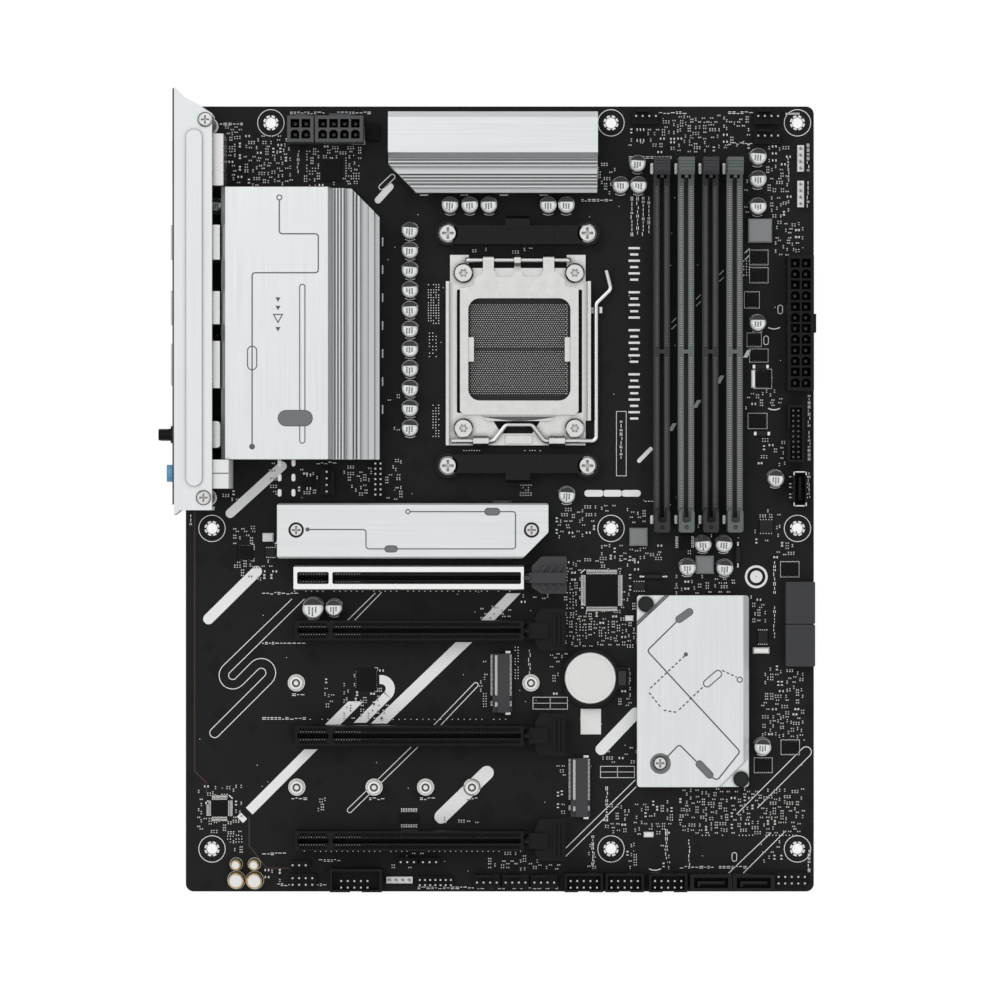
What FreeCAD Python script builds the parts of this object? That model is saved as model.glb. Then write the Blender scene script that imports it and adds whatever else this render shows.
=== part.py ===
import FreeCAD, Part
import math
import os

# A full-size desktop motherboard, in millimetres.
# "Across" runs from the board's rear edge, "down" from its top edge,
# and "height" up from the board's component face.

# ---------------------------------------------------------------- board
BOARD_WIDTH = 243.84
BOARD_LENGTH = 304.8
BOARD_THICKNESS = 1.6
BOARD_CORNER = 3.0
UNDERSIDE = -BOARD_THICKNESS

# the nine standoff holes: three columns by three rows, the top left one moved in
HOLE_RADIUS = 1.98
HOLE_ROW_TOP = 6.35
HOLE_ROW_MIDDLE = 163.83
HOLE_ROW_BOTTOM = 288.29
HOLE_COLUMN_REAR = 10.16
HOLE_COLUMN_REAR_TOP = 33.02
HOLE_COLUMN_CENTRE = 165.10
HOLE_COLUMN_FRONT = 237.49

# ---------------------------------------------------------------- processor socket
SOCKET_ACROSS = 128.83
SOCKET_DOWN = 94.5
COOLER_SPACING_ACROSS = 54.0
COOLER_SPACING_DOWN = 90.0
SOCKET_SCREW_ACROSS = 129.4
SOCKET_SCREW_DOWN = 94.9
SOCKET_SCREW_SPACING_ACROSS = 43.2
SOCKET_SCREW_SPACING_DOWN = 60.2
PACKAGE_SIZE = 40.2
SOCKET_SCREW_HEAD = 3.85
HOUSING_SIZE = 45.2
CONTACT_HEIGHT = 2.4
HOUSING_HEIGHT = 4.2
FRAME_BOTTOM = 0.4
FRAME_TOP = 1.6
PLATE_BOTTOM = 4.7
PLATE_TOP = 5.9
PLATE_WINDOW = 39.6
PLATE_WINDOW_CORNER = 4.5
HINGE_DOWN = 59.8
HINGE_HEIGHT = 4.0
WIRE_RADIUS = 0.95
WIRE_CLEARANCE = 0.05
WIRE_BEND = 1.9
LEVER_DOWN = 129.9
LEVER_HEIGHT = 2.9
LEVER_ARM_ACROSS = 159.3
BACKPLATE_THICKNESS = 2.2

# ---------------------------------------------------------------- memory slots
MEMORY_FIRST_ACROSS = 184.5
MEMORY_PITCH = 9.4
MEMORY_COUNT = 4
MEMORY_WIDTH = 6.2
MEMORY_TOP = 28.6
MEMORY_BOTTOM = 157.2
MEMORY_HEIGHT = 8.6
MEMORY_SLOT_WIDTH = 1.7
MEMORY_SLOT_FLOOR = 2.2
MEMORY_KEY_DOWN = 95.4
MEMORY_KEY_WIDTH = 1.5
MEMORY_TOWER_END = 165.3
MEMORY_TOWER_HEIGHT = 16.5
MEMORY_CHEEK_START = 20.6
MEMORY_CHEEK_HEIGHT = 9.6
MEMORY_CHEEK_GAP = 3.8
LATCH_PIVOT_DOWN = 24.6
LATCH_PIVOT_HEIGHT = 3.6
LATCH_BODY_WIDTH = 3.5
LATCH_HEAD_HEIGHT = 13.6
LATCH_TOP = 19.2
LATCH_PIN_RADIUS = 0.9

# ---------------------------------------------------------------- expansion slots
CARD_SLOT_GRID = 20.32
CARD_SLOT_FIRST_DOWN = 182.9
CARD_SLOT_STEPS = (0, 1, 3, 5)
CARD_SLOT_START = 42.8
CARD_SLOT_END = 131.2
CARD_SLOT_WIDTH = 7.6
CARD_SLOT_HEIGHT = 11.2
CARD_GROOVE_WIDTH = 1.8
CARD_GROOVE_FLOOR = 3.2
CARD_KEY_ACROSS = 56.6
CARD_KEY_WIDTH = 1.5
CARD_CHEEK_END = 135.6
CARD_CHEEK_GAP = 4.0
CARD_CHEEK_HEIGHT = 6.4
CARD_LATCH_PIVOT_ACROSS = 133.6
CARD_LATCH_PIVOT_HEIGHT = 3.6
CARD_LATCH_END = 147.4
CARD_WING_SHOULDER = 137.5
CARD_WING_UPPER = 8.5
CARD_WING_LOWER = 7.8
SHIELD_THICKNESS = 0.5
SHIELD_WIDTH = 9.6

# ---------------------------------------------------------------- drive slots
DRIVE_SLOT_DOWNS = (164.4, 223.8, 264.3)
DRIVE_SOCKET_ACROSS = (122.6, 122.6, 152.9)
DRIVE_SOCKET_LENGTH = 22.8
DRIVE_SOCKET_DEPTH = 8.2
DRIVE_SOCKET_HEIGHT = 4.2
DRIVE_SOCKET_LIP_HEIGHT = 2.0
DRIVE_SOCKET_LIP = 2.0
DRIVE_STANDOFF_HEIGHT = 2.8
DRIVE_STANDOFF_RADIUS = 2.4
DRIVE_THREAD_RADIUS = 1.0
DRIVE_SCREWS = (43.2, 134.2)
DRIVE_HEATSINK_TOP = 9.0
DRIVE_HEATSINK_BOTTOM = 4.6

# ---------------------------------------------------------------- heatsinks
LEFT_SINK_TOP = 33.0
LEFT_SINK_BOTTOM = 137.2
SINK_HIGH = 29.0
TOP_SINK_START = 79.1
TOP_SINK_END = 159.5
TOP_SINK_HIGH = 27.0
GROOVE_PITCH = 1.2
GROOVE_WIDTH = 0.55
GROOVE_DEPTH = 1.6
CHIPSET_START = 175.0
CHIPSET_END = 218.3
CHIPSET_TOP = 189.7
CHIPSET_BOTTOM = 263.8
CHIPSET_HEIGHT = 8.5
CHIPSET_CORNER_HEIGHT = 6.9

# ---------------------------------------------------------------- rear panel
PANEL_OUTSIDE = -2.9
PANEL_INSIDE = -2.3
PANEL_TOP_EDGE = -4.2
PANEL_BOTTOM_EDGE = 154.55
PANEL_TOP = 34.6
PANEL_BOTTOM = -4.6
COVER_HEIGHT = 35.0
COVER_SKIN = 1.4
COVER_EDGE = 12.2
COVER_BOTTOM_EDGE = 156.7
STACK_END = 14.9
PORT_LIP = -3.9

# ---------------------------------------------------------------- rounding and gaps
TINY = 0.001
THROUGH = 1.0


# ================================================================ tools
def point(across, down, height):
    """A point in the frame whose origin is the centre standoff hole at the underside."""
    return FreeCAD.Vector(
        across - HOLE_COLUMN_CENTRE,
        HOLE_ROW_MIDDLE - down,
        height + BOARD_THICKNESS,
    )


def rectangle(left, right, top, bottom):
    """The corners of a rectangle seen from above."""
    return [(left, top), (right, top), (right, bottom), (left, bottom)]


def block(left, right, top, bottom, low, high):
    """A plain box between two acrosses, two downs and two heights."""
    return Part.makeBox(right - left, bottom - top, high - low, point(left, bottom, low))


def disc(across, down, radius, low, high):
    """An upright cylinder."""
    return Part.makeCylinder(radius, high - low, point(across, down, low))


def disc_across(down, height, radius, left, right):
    """A cylinder that lies along the across direction."""
    start = point(left, down, height)
    return Part.makeCylinder(radius, right - left, start, FreeCAD.Vector(1, 0, 0))


def disc_down(across, height, radius, top, bottom):
    """A cylinder that lies along the down direction."""
    start = point(across, top, height)
    return Part.makeCylinder(radius, bottom - top, start, FreeCAD.Vector(0, -1, 0))


def bend(before, corner, after, radius):
    """Where an arc that rounds a corner starts, passes and ends."""
    back = (before - corner).normalize()
    ahead = (after - corner).normalize()
    half = back.getAngle(ahead) / 2
    reach = radius / math.tan(half)
    inward = (back + ahead).normalize() * (radius / math.sin(half) - radius)
    return corner + back * reach, corner + inward, corner + ahead * reach


def path_edges(points, radius, closed):
    """Straight edges through points, with every inner corner rounded to a radius."""
    edges = []
    first = None
    last = None
    for i, corner in enumerate(points):
        at_end = not closed and i in (0, len(points) - 1)
        rounded = radius > 0 and not at_end
        enter = corner
        leave = corner
        if rounded:
            following = points[(i + 1) % len(points)]
            enter, middle, leave = bend(points[i - 1], corner, following, radius)
        if last is None:
            first = enter
        elif last.distanceToPoint(enter) > TINY:
            edges.append(Part.makeLine(last, enter))
        if rounded:
            edges.append(Part.Arc(enter, middle, leave).toShape())
        last = leave
    if closed and last.distanceToPoint(first) > TINY:
        edges.append(Part.makeLine(last, first))
    return edges


def slab(corners, low, high, radius=0.0):
    """An upright prism on an outline seen from above."""
    points = [point(across, down, low) for across, down in corners]
    face = Part.Face(Part.Wire(path_edges(points, radius, True)))
    return face.extrude(FreeCAD.Vector(0, 0, high - low))


def bar_down(profile, top, bottom, radius=0.0):
    """A prism along the down direction, on a profile of (across, height)."""
    points = [point(across, top, height) for across, height in profile]
    face = Part.Face(Part.Wire(path_edges(points, radius, True)))
    return face.extrude(FreeCAD.Vector(0, top - bottom, 0))


def bar_across(profile, left, right, radius=0.0):
    """A prism along the across direction, on a profile of (down, height)."""
    points = [point(left, down, height) for down, height in profile]
    face = Part.Face(Part.Wire(path_edges(points, radius, True)))
    return face.extrude(FreeCAD.Vector(right - left, 0, 0))


def rod(points, radius, bend_radius):
    """Round wire along a bent path."""
    edges = path_edges(points, bend_radius, False)
    path = Part.Wire(edges)
    direction = points[1] - points[0]
    circle = Part.makeCircle(radius, points[0], direction)
    return path.makePipeShell([Part.Wire(circle)], True, False)


def turned(across, down, profile):
    """A solid of revolution about an upright axis, on a profile of (radius, height)."""
    corners = [FreeCAD.Vector(radius, 0, height) for radius, height in profile]
    face = Part.Face(Part.makePolygon(corners + corners[:1]))
    axis = FreeCAD.Vector(0, 0, 1)
    solid = face.revolve(FreeCAD.Vector(0, 0, 0), axis, 360)
    solid.translate(point(across, down, 0))
    return solid


def joined(solids):
    """One solid from several that touch or overlap."""
    return solids[0].fuse(solids[1:]).removeSplitter()


def four_around(across, down, spacing_across, spacing_down):
    """The corners of a centred rectangle, for holes and screws."""
    return [
        (across + side * spacing_across / 2, down + end * spacing_down / 2)
        for side in (-1, 1)
        for end in (-1, 1)
    ]


def save(node, solids):
    """Write one node, made of one solid or of several separate ones."""
    shape = Part.makeCompound(solids)
    for solid in shape.Solids:
        if not solid.isValid() or solid.Volume <= 0:
            raise ValueError("bad solid in " + node)
    shape.exportStep("parts/" + node + ".step")
    size = shape.BoundBox
    print(
        node,
        len(shape.Solids),
        "solids",
        round(size.XLength, 2),
        round(size.YLength, 2),
        round(size.ZLength, 2),
    )


# ================================================================ positions
STANDOFF_HOLES = [
    (HOLE_COLUMN_REAR_TOP, HOLE_ROW_TOP),
    (HOLE_COLUMN_CENTRE, HOLE_ROW_TOP),
    (HOLE_COLUMN_FRONT, HOLE_ROW_TOP),
]
STANDOFF_HOLES += [
    (across, down)
    for across in (HOLE_COLUMN_REAR, HOLE_COLUMN_CENTRE, HOLE_COLUMN_FRONT)
    for down in (HOLE_ROW_MIDDLE, HOLE_ROW_BOTTOM)
]
COOLER_POSTS = four_around(
    SOCKET_ACROSS, SOCKET_DOWN, COOLER_SPACING_ACROSS, COOLER_SPACING_DOWN
)
SOCKET_POSTS = four_around(
    SOCKET_SCREW_ACROSS,
    SOCKET_SCREW_DOWN,
    SOCKET_SCREW_SPACING_ACROSS,
    SOCKET_SCREW_SPACING_DOWN,
)
DRIVE_STANDOFFS = [(across, DRIVE_SLOT_DOWNS[0]) for across in DRIVE_SCREWS]
DRIVE_STANDOFFS += [(across, DRIVE_SLOT_DOWNS[1]) for across in (42.9, 134.0)]
DRIVE_STANDOFFS += [(across, DRIVE_SLOT_DOWNS[2]) for across in (43.1, 73.1, 93.1, 111.1)]
COVER_SCREWS = [(9.6, 7.8), (9.0, 151.9)]
LEFT_SINK_SCREWS = [(46.0, 42.0), (46.0, 128.0)]
TOP_SINK_SCREWS = [(88.5, 12.0), (150.5, 12.0)]
CHIPSET_SCREW = (184.0, 254.7)
SINK_SCREWS = LEFT_SINK_SCREWS + TOP_SINK_SCREWS

BOARD_POST_RADIUS = 2.8
BOARD_POST_HOLE = 2.9
SMALL_STEM_RADIUS = 1.3
SMALL_STEM_HOLE = 1.4
SINK_SCREW_RADIUS = 1.45
SINK_SCREW_HOLE = 1.6


# ================================================================ board
def pcb():
    """The printed board with its through holes."""
    low = UNDERSIDE - THROUGH
    board = slab(
        rectangle(0, BOARD_WIDTH, 0, BOARD_LENGTH), UNDERSIDE, 0, BOARD_CORNER
    )
    holes = [disc(x, y, HOLE_RADIUS, low, THROUGH) for x, y in STANDOFF_HOLES]
    holes += [disc(x, y, BOARD_POST_HOLE, low, THROUGH) for x, y in COOLER_POSTS]
    holes += [disc(x, y, BOARD_POST_HOLE, low, THROUGH) for x, y in SOCKET_POSTS]
    stems = DRIVE_STANDOFFS + COVER_SCREWS
    holes += [disc(x, y, SMALL_STEM_HOLE, low, THROUGH) for x, y in stems]
    holes += [disc(x, y, SINK_SCREW_HOLE, low, THROUGH) for x, y in SINK_SCREWS]
    return board.cut(holes)


# ================================================================ processor socket
POST_THREAD_RADIUS = 1.7


def socket_backplate():
    """Steel plate under the socket, with threaded posts that stand in the board."""
    half_across = 33.5
    waist = 26.0
    half_down = 52.0
    shoulder = 36.0
    left = SOCKET_ACROSS - half_across
    right = SOCKET_ACROSS + half_across
    top = SOCKET_DOWN - half_down
    bottom = SOCKET_DOWN + half_down
    corners = [
        (left, top),
        (right, top),
        (right, SOCKET_DOWN - shoulder),
        (SOCKET_ACROSS + waist, SOCKET_DOWN - shoulder + half_across - waist),
        (SOCKET_ACROSS + waist, SOCKET_DOWN + shoulder - half_across + waist),
        (right, SOCKET_DOWN + shoulder),
        (right, bottom),
        (left, bottom),
        (left, SOCKET_DOWN + shoulder),
        (SOCKET_ACROSS - waist, SOCKET_DOWN + shoulder - half_across + waist),
        (SOCKET_ACROSS - waist, SOCKET_DOWN - shoulder + half_across - waist),
        (left, SOCKET_DOWN - shoulder),
    ]
    low = UNDERSIDE - BACKPLATE_THICKNESS
    plate = slab(corners, low, UNDERSIDE, 3.0)
    posts = COOLER_POSTS + SOCKET_POSTS
    tubes = [disc(x, y, BOARD_POST_RADIUS, low, 0.0) for x, y in posts]
    window_half = 11.0
    window = slab(
        rectangle(
            SOCKET_ACROSS - window_half,
            SOCKET_ACROSS + window_half,
            SOCKET_DOWN - window_half,
            SOCKET_DOWN + window_half,
        ),
        low - THROUGH,
        THROUGH,
        3.0,
    )
    threads = [disc(x, y, POST_THREAD_RADIUS, low - THROUGH, THROUGH) for x, y in posts]
    return joined([plate] + tubes).cut([window] + threads)


def socket_housing():
    """Plastic tray that holds the contact field and centres the processor."""
    half = HOUSING_SIZE / 2
    seat = PACKAGE_SIZE / 2
    field = 18.9
    outer = slab(
        rectangle(
            SOCKET_ACROSS - half,
            SOCKET_ACROSS + half,
            SOCKET_DOWN - half,
            SOCKET_DOWN + half,
        ),
        0,
        HOUSING_HEIGHT,
        1.5,
    )
    cavity = block(
        SOCKET_ACROSS - seat,
        SOCKET_ACROSS + seat,
        SOCKET_DOWN - seat,
        SOCKET_DOWN + seat,
        CONTACT_HEIGHT - 0.4,
        HOUSING_HEIGHT + THROUGH,
    )
    # a shallow bay on each side of the divider holds the contacts
    divider = 0.6
    bays = [
        block(
            SOCKET_ACROSS - field,
            SOCKET_ACROSS + field,
            SOCKET_DOWN + low,
            SOCKET_DOWN + high,
            CONTACT_HEIGHT - 1.2,
            CONTACT_HEIGHT,
        )
        for low, high in ((-field, -divider), (divider, field))
    ]
    # finger reliefs halfway along the left and right walls
    relief = 4.0
    notches = [
        block(
            SOCKET_ACROSS + side * half - 1.2,
            SOCKET_ACROSS + side * half + 1.2,
            SOCKET_DOWN - relief,
            SOCKET_DOWN + relief,
            CONTACT_HEIGHT,
            HOUSING_HEIGHT + THROUGH,
        )
        for side in (-1, 1)
    ]
    return outer.cut([cavity] + bays + notches)


def socket_contacts():
    """Contact field: rows of sprung contacts, each row one ridge on its carrier."""
    solids = []
    field = 18.7
    rows = 15
    pitch = 1.2
    ridge = 0.5
    for direction in (-1, 1):
        first = SOCKET_DOWN + direction * 1.2
        near = first - direction * 0.45
        far = first + direction * ((rows - 1) * pitch + 0.45)
        low = min(near, far)
        high = max(near, far)
        base_top = CONTACT_HEIGHT - 0.8
        solid = block(
            SOCKET_ACROSS - field, SOCKET_ACROSS + field, low, high,
            CONTACT_HEIGHT - 1.2, base_top,
        )
        ridges = []
        for row in range(rows):
            middle = first + direction * row * pitch
            ridges.append(
                block(
                    SOCKET_ACROSS - field,
                    SOCKET_ACROSS + field,
                    middle - ridge / 2,
                    middle + ridge / 2,
                    base_top,
                    CONTACT_HEIGHT - 0.45,
                )
            )
        solids.append(joined([solid] + ridges))
    return solids


def socket_frame():
    """Stamped steel frame: base ring, side walls, hinge ear, lever sleeves and ledge."""
    left = 101.0
    right = 157.2
    base = slab(
        [
            (102.6, 57.7),
            (109.9, 57.7),
            (109.9, 62.8),
            (147.9, 62.8),
            (147.9, 57.7),
            (155.2, 57.7),
            (155.2, 68.0),
            (right, 68.0),
            (right, 122.0),
            (155.2, 122.0),
            (155.2, 131.6),
            (left, 131.6),
            (left, 68.0),
            (102.6, 68.0),
        ],
        FRAME_BOTTOM,
        FRAME_TOP,
    )
    half = HOUSING_SIZE / 2 + 0.3
    window = slab(
        rectangle(
            SOCKET_ACROSS - half,
            SOCKET_ACROSS + half,
            SOCKET_DOWN - half,
            SOCKET_DOWN + half,
        ),
        FRAME_BOTTOM - THROUGH,
        FRAME_TOP + THROUGH,
        1.8,
    )
    wall = 1.2
    wall_top = 4.6
    walls = [
        block(left, left + wall, 68.0, 131.6, FRAME_BOTTOM, wall_top),
        block(right - wall, right, 68.0, 122.0, FRAME_BOTTOM, wall_top),
    ]
    # one ear in the middle of the hinge carries the hinge wire
    ear_left = 127.5
    ear_right = 130.0
    ear_top = HINGE_HEIGHT + 2.0
    ear = bar_across(
        [
            (HINGE_DOWN - 1.9, FRAME_BOTTOM),
            (HINGE_DOWN - 1.9, ear_top - 1.0),
            (HINGE_DOWN - 0.9, ear_top),
            (HINGE_DOWN + 1.1, ear_top),
            (HINGE_DOWN + 2.2, ear_top - 1.4),
            (HINGE_DOWN + 2.2, FRAME_TOP),
            (HINGE_DOWN + 4.0, FRAME_TOP),
            (HINGE_DOWN + 4.0, FRAME_BOTTOM),
        ],
        ear_left,
        ear_right,
    )
    # curled sleeves hold the lever, one each side of its crank
    sleeve_half = 1.9
    sleeve_top = LEVER_HEIGHT + 1.9
    sleeve_profile = [
        (LEVER_DOWN - sleeve_half, FRAME_BOTTOM),
        (LEVER_DOWN - sleeve_half, sleeve_top - 0.9),
        (LEVER_DOWN - sleeve_half + 0.9, sleeve_top),
        (LEVER_DOWN + sleeve_half - 0.9, sleeve_top),
        (LEVER_DOWN + sleeve_half, sleeve_top - 0.9),
        (LEVER_DOWN + sleeve_half, FRAME_BOTTOM),
    ]
    sleeves = [
        bar_across(sleeve_profile, 111.6, 117.6),
        bar_across(sleeve_profile, 141.0, 147.2),
    ]
    # a folded tongue stiffens the edge below the lever's crank
    tongue = block(124.0, 134.5, 127.8, 131.0, FRAME_TOP - THROUGH, FRAME_TOP + 0.3)
    crank_opening = slab(
        [(119.0, 121.5), (138.0, 121.5), (134.5, 127.0), (122.5, 127.0)],
        FRAME_BOTTOM - THROUGH,
        FRAME_TOP + THROUGH,
        0.4,
    )
    # the ledge that the lever's arm is parked against
    ledge = block(right - 0.6, 161.6, 78.0, 80.4, FRAME_BOTTOM, FRAME_TOP)
    stop = block(160.6, 161.6, 78.0, 80.4, FRAME_BOTTOM, LEVER_HEIGHT + 0.9)
    frame = joined([base] + walls + [ear] + sleeves + [tongue, ledge, stop])
    # the opening reaches past the plate's long edges
    side_gaps = [
        slab(
            rectangle(gap_left, gap_right, 71.2, 119.0),
            FRAME_BOTTOM - THROUGH,
            FRAME_TOP + THROUGH,
            0.5,
        )
        for gap_left, gap_right in ((105.3, 108.0), (150.0, 153.8))
    ]
    cuts = [window, crank_opening] + side_gaps
    cuts += [disc(x, y, 2.1, FRAME_BOTTOM - THROUGH, FRAME_TOP + THROUGH) for x, y in SOCKET_POSTS]
    cuts.append(
        disc_across(HINGE_DOWN, HINGE_HEIGHT, WIRE_RADIUS + WIRE_CLEARANCE, 126.0, 131.5)
    )
    cuts.append(
        disc_across(LEVER_DOWN, LEVER_HEIGHT, WIRE_RADIUS + WIRE_CLEARANCE, 108.0, 150.4)
    )
    return frame.cut(cuts)


def socket_hinge_wire():
    """Straight hinge pin whose ends turn down onto the frame."""
    left = 108.9
    right = 148.9
    points = [
        point(left, HINGE_DOWN, FRAME_TOP),
        point(left, HINGE_DOWN, HINGE_HEIGHT),
        point(right, HINGE_DOWN, HINGE_HEIGHT),
        point(right, HINGE_DOWN, FRAME_TOP),
    ]
    return rod(points, WIRE_RADIUS, WIRE_RADIUS + 0.2)


def six_lobe_recess(across, down, low, high):
    """The six-lobed drive recess of a screw head."""
    lobes = [disc(across, down, 1.3, low, high)]
    for turn in range(6):
        angle = math.radians(60 * turn)
        lobes.append(
            disc(across + 1.25 * math.cos(angle), down + 1.25 * math.sin(angle), 0.42, low, high)
        )
    return joined(lobes)


def socket_screws():
    """Four screws with six-lobe heads that clamp the frame to the backplate."""
    screws = []
    head_top = FRAME_TOP + 1.9
    for across, down in SOCKET_POSTS:
        head = turned(
            across,
            down,
            [
                (0, FRAME_TOP),
                (SOCKET_SCREW_HEAD, FRAME_TOP),
                (SOCKET_SCREW_HEAD, head_top - 0.6),
                (SOCKET_SCREW_HEAD - 0.6, head_top),
                (0, head_top),
            ],
        )
        shank = disc(across, down, 1.6, UNDERSIDE - 1.0, FRAME_TOP)
        recess = six_lobe_recess(across, down, head_top - 1.2, head_top + THROUGH)
        screws.append(joined([head, shank]).cut(recess))
    return screws


def load_plate():
    """Hinged clamping plate with a window for the processor's lid."""
    left = 106.5
    right = 152.4
    top = 64.3
    bottom = 119.8
    # above its shoulders the plate narrows to clear the upper screws
    shoulder = 70.8
    plate = slab(
        [
            (left + 8.7, top),
            (right - 8.7, top),
            (right - 5.3, top + 3.2),
            (right - 5.3, shoulder - 0.9),
            (right, shoulder),
            (right, bottom - 1.4),
            (right - 1.4, bottom),
            (left + 1.4, bottom),
            (left, bottom - 1.4),
            (left, shoulder),
            (left + 5.5, shoulder - 0.9),
            (left + 5.5, top + 3.2),
        ],
        PLATE_BOTTOM,
        PLATE_TOP,
        0.6,
    )
    # the lip that the lever's crank holds down, joggled below the plate
    lip = slab(
        [
            (113.2, bottom - 0.6),
            (145.2, bottom - 0.6),
            (141.5, 122.2),
            (117.0, 122.2),
        ],
        PLATE_BOTTOM - 0.8,
        PLATE_TOP - 0.8,
        1.2,
    )
    half = PLATE_WINDOW / 2
    window = slab(
        rectangle(
            SOCKET_ACROSS - half + 0.65,
            SOCKET_ACROSS + half + 0.65,
            SOCKET_DOWN - half,
            SOCKET_DOWN + half,
        ),
        PLATE_BOTTOM - THROUGH,
        PLATE_TOP + THROUGH,
        PLATE_WINDOW_CORNER,
    )
    # pressure tabs stand into the window from both sides
    tab_reach = 2.2
    tabs = []
    for side in (-1, 1):
        edge = SOCKET_ACROSS + 0.65 + side * half
        inner = edge - side * tab_reach
        outer = edge + side * 1.0
        tabs.append(
            block(
                min(inner, outer),
                max(inner, outer),
                SOCKET_DOWN - 4.7,
                SOCKET_DOWN + 4.7,
                PLATE_BOTTOM,
                PLATE_TOP - 0.3,
            )
        )
    # two curled clips turn about the hinge wire
    clips = []
    arms = []
    for clip_left, clip_right in ((115.4, 119.6), (138.7, 143.0)):
        clips.append(disc_across(HINGE_DOWN, HINGE_HEIGHT, 2.0, clip_left, clip_right))
        arms.append(
            bar_across(
                [
                    (HINGE_DOWN, HINGE_HEIGHT + 0.9),
                    (HINGE_DOWN, HINGE_HEIGHT + 1.95),
                    (HINGE_DOWN + 1.6, PLATE_TOP),
                    (top + 0.8, PLATE_TOP),
                    (top + 0.8, PLATE_BOTTOM),
                ],
                clip_left,
                clip_right,
            )
        )
    bore = disc_across(
        HINGE_DOWN, HINGE_HEIGHT, WIRE_RADIUS + WIRE_CLEARANCE, 114.0, 144.0
    )
    # U-shaped reliefs beside each clip
    reliefs = [
        slab(
            rectangle(relief_left, relief_right, top - 2.0, top + 2.2),
            PLATE_BOTTOM - THROUGH,
            PLATE_TOP + THROUGH,
            1.6,
        )
        for relief_left, relief_right in ((120.2, 127.0), (130.6, 138.1))
    ]
    body = plate.cut([window] + reliefs)
    return joined([body, lip] + tabs + clips + arms).cut(bore)


def load_lever():
    """Bent wire lever: a crank over the plate's lip, and a long arm at the side."""
    height = LEVER_HEIGHT
    points = [
        point(103.2, LEVER_DOWN, height),
        point(119.4, LEVER_DOWN, height),
        point(124.2, LEVER_DOWN - 6.3, height),
        point(134.4, LEVER_DOWN - 6.3, height),
        point(139.2, LEVER_DOWN, height),
        point(LEVER_ARM_ACROSS, LEVER_DOWN, height),
        point(LEVER_ARM_ACROSS, 76.6, height),
        point(165.0, 71.0, height),
        point(163.2, 63.8, height),
    ]
    return rod(points, WIRE_RADIUS, WIRE_BEND)


def cooler_bracket(direction):
    """Plastic retention bracket beside the socket, with a lug for a cooler's clip.

    direction is -1 for the bracket above the socket and 1 for the one below it.
    """
    line = SOCKET_DOWN + direction * COOLER_SPACING_DOWN / 2
    half = COOLER_SPACING_ACROSS / 2
    low = 0.0
    bar_half = 24.4
    inner = line - direction * 4.3
    outer = line + direction * 2.9
    top = min(inner, outer)
    bottom = max(inner, outer)
    bar = block(
        SOCKET_ACROSS - bar_half, SOCKET_ACROSS + bar_half, top, bottom, low, 7.4
    )
    # the bar is hollow underneath, as a moulded channel
    hollow = block(
        SOCKET_ACROSS - bar_half + 1.6,
        SOCKET_ACROSS + bar_half - 1.6,
        top + 1.6,
        bottom - 1.6,
        low - THROUGH,
        5.6,
    )
    ends = [
        disc(SOCKET_ACROSS + side * half, line, 4.8, low, 5.4) for side in (-1, 1)
    ]
    webs = [
        block(
            SOCKET_ACROSS + min(side * half, side * (bar_half - 1.0)),
            SOCKET_ACROSS + max(side * half, side * (bar_half - 1.0)),
            line - 3.0,
            line + 2.7,
            low,
            5.4,
        )
        for side in (-1, 1)
    ]
    # the lug stands out from the bar and overhangs at its tip
    lug_tip = line + direction * 6.5
    lug_profile = [
        (outer - direction * 1.0, 1.8),
        (outer - direction * 1.0, 8.6),
        (lug_tip - direction * 1.0, 8.6),
        (lug_tip, 7.4),
        (lug_tip, 5.4),
        (lug_tip - direction * 1.6, 3.9),
        (lug_tip - direction * 2.6, 1.8),
    ]
    lug = bar_across(lug_profile, SOCKET_ACROSS - 4.7, SOCKET_ACROSS + 4.7)
    # ribs across the bar's top
    ribs = [
        block(
            SOCKET_ACROSS + offset - 0.6,
            SOCKET_ACROSS + offset + 0.6,
            top,
            bottom,
            7.0,
            8.2,
        )
        for offset in (-15.5, -8.5, 8.5, 15.5)
    ]
    body = joined([bar, lug] + ends + webs + ribs).cut(hollow)
    holes = [
        disc(SOCKET_ACROSS + side * half, line, 1.9, low - THROUGH, 6.4)
        for side in (-1, 1)
    ]
    seats = [
        disc(SOCKET_ACROSS + side * half, line, 4.0, 4.6, 9.0) for side in (-1, 1)
    ]
    return body.cut(holes + seats)


def cross_recess(across, down, radius, low, high):
    """The cross-shaped drive recess of a screw head."""
    arm = radius * 0.22
    return joined(
        [
            block(across - radius, across + radius, down - arm, down + arm, low, high),
            block(across - arm, across + arm, down - radius, down + radius, low, high),
        ]
    )


def headed_screw(across, down, head_radius, head_low, head_high, shank_radius, shank_end):
    """A domed screw with a cross recess; the shank ends at shank_end."""
    dome = (head_high - head_low) * 0.35
    head = turned(
        across,
        down,
        [
            (0, head_low),
            (head_radius, head_low),
            (head_radius, head_high - dome),
            (head_radius * 0.8, head_high),
            (0, head_high),
        ],
    )
    shank = disc(across, down, shank_radius, shank_end, head_low)
    recess = cross_recess(
        across, down, head_radius * 0.6, head_high - (head_high - head_low) * 0.6, head_high + THROUGH
    )
    return joined([head, shank]).cut(recess)


def cooler_bracket_screws():
    """Four screws that hold the two cooler brackets to the backplate's posts."""
    return [
        headed_screw(x, y, 3.7, 4.6, 6.6, 1.6, UNDERSIDE - 1.0) for x, y in COOLER_POSTS
    ]


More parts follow.
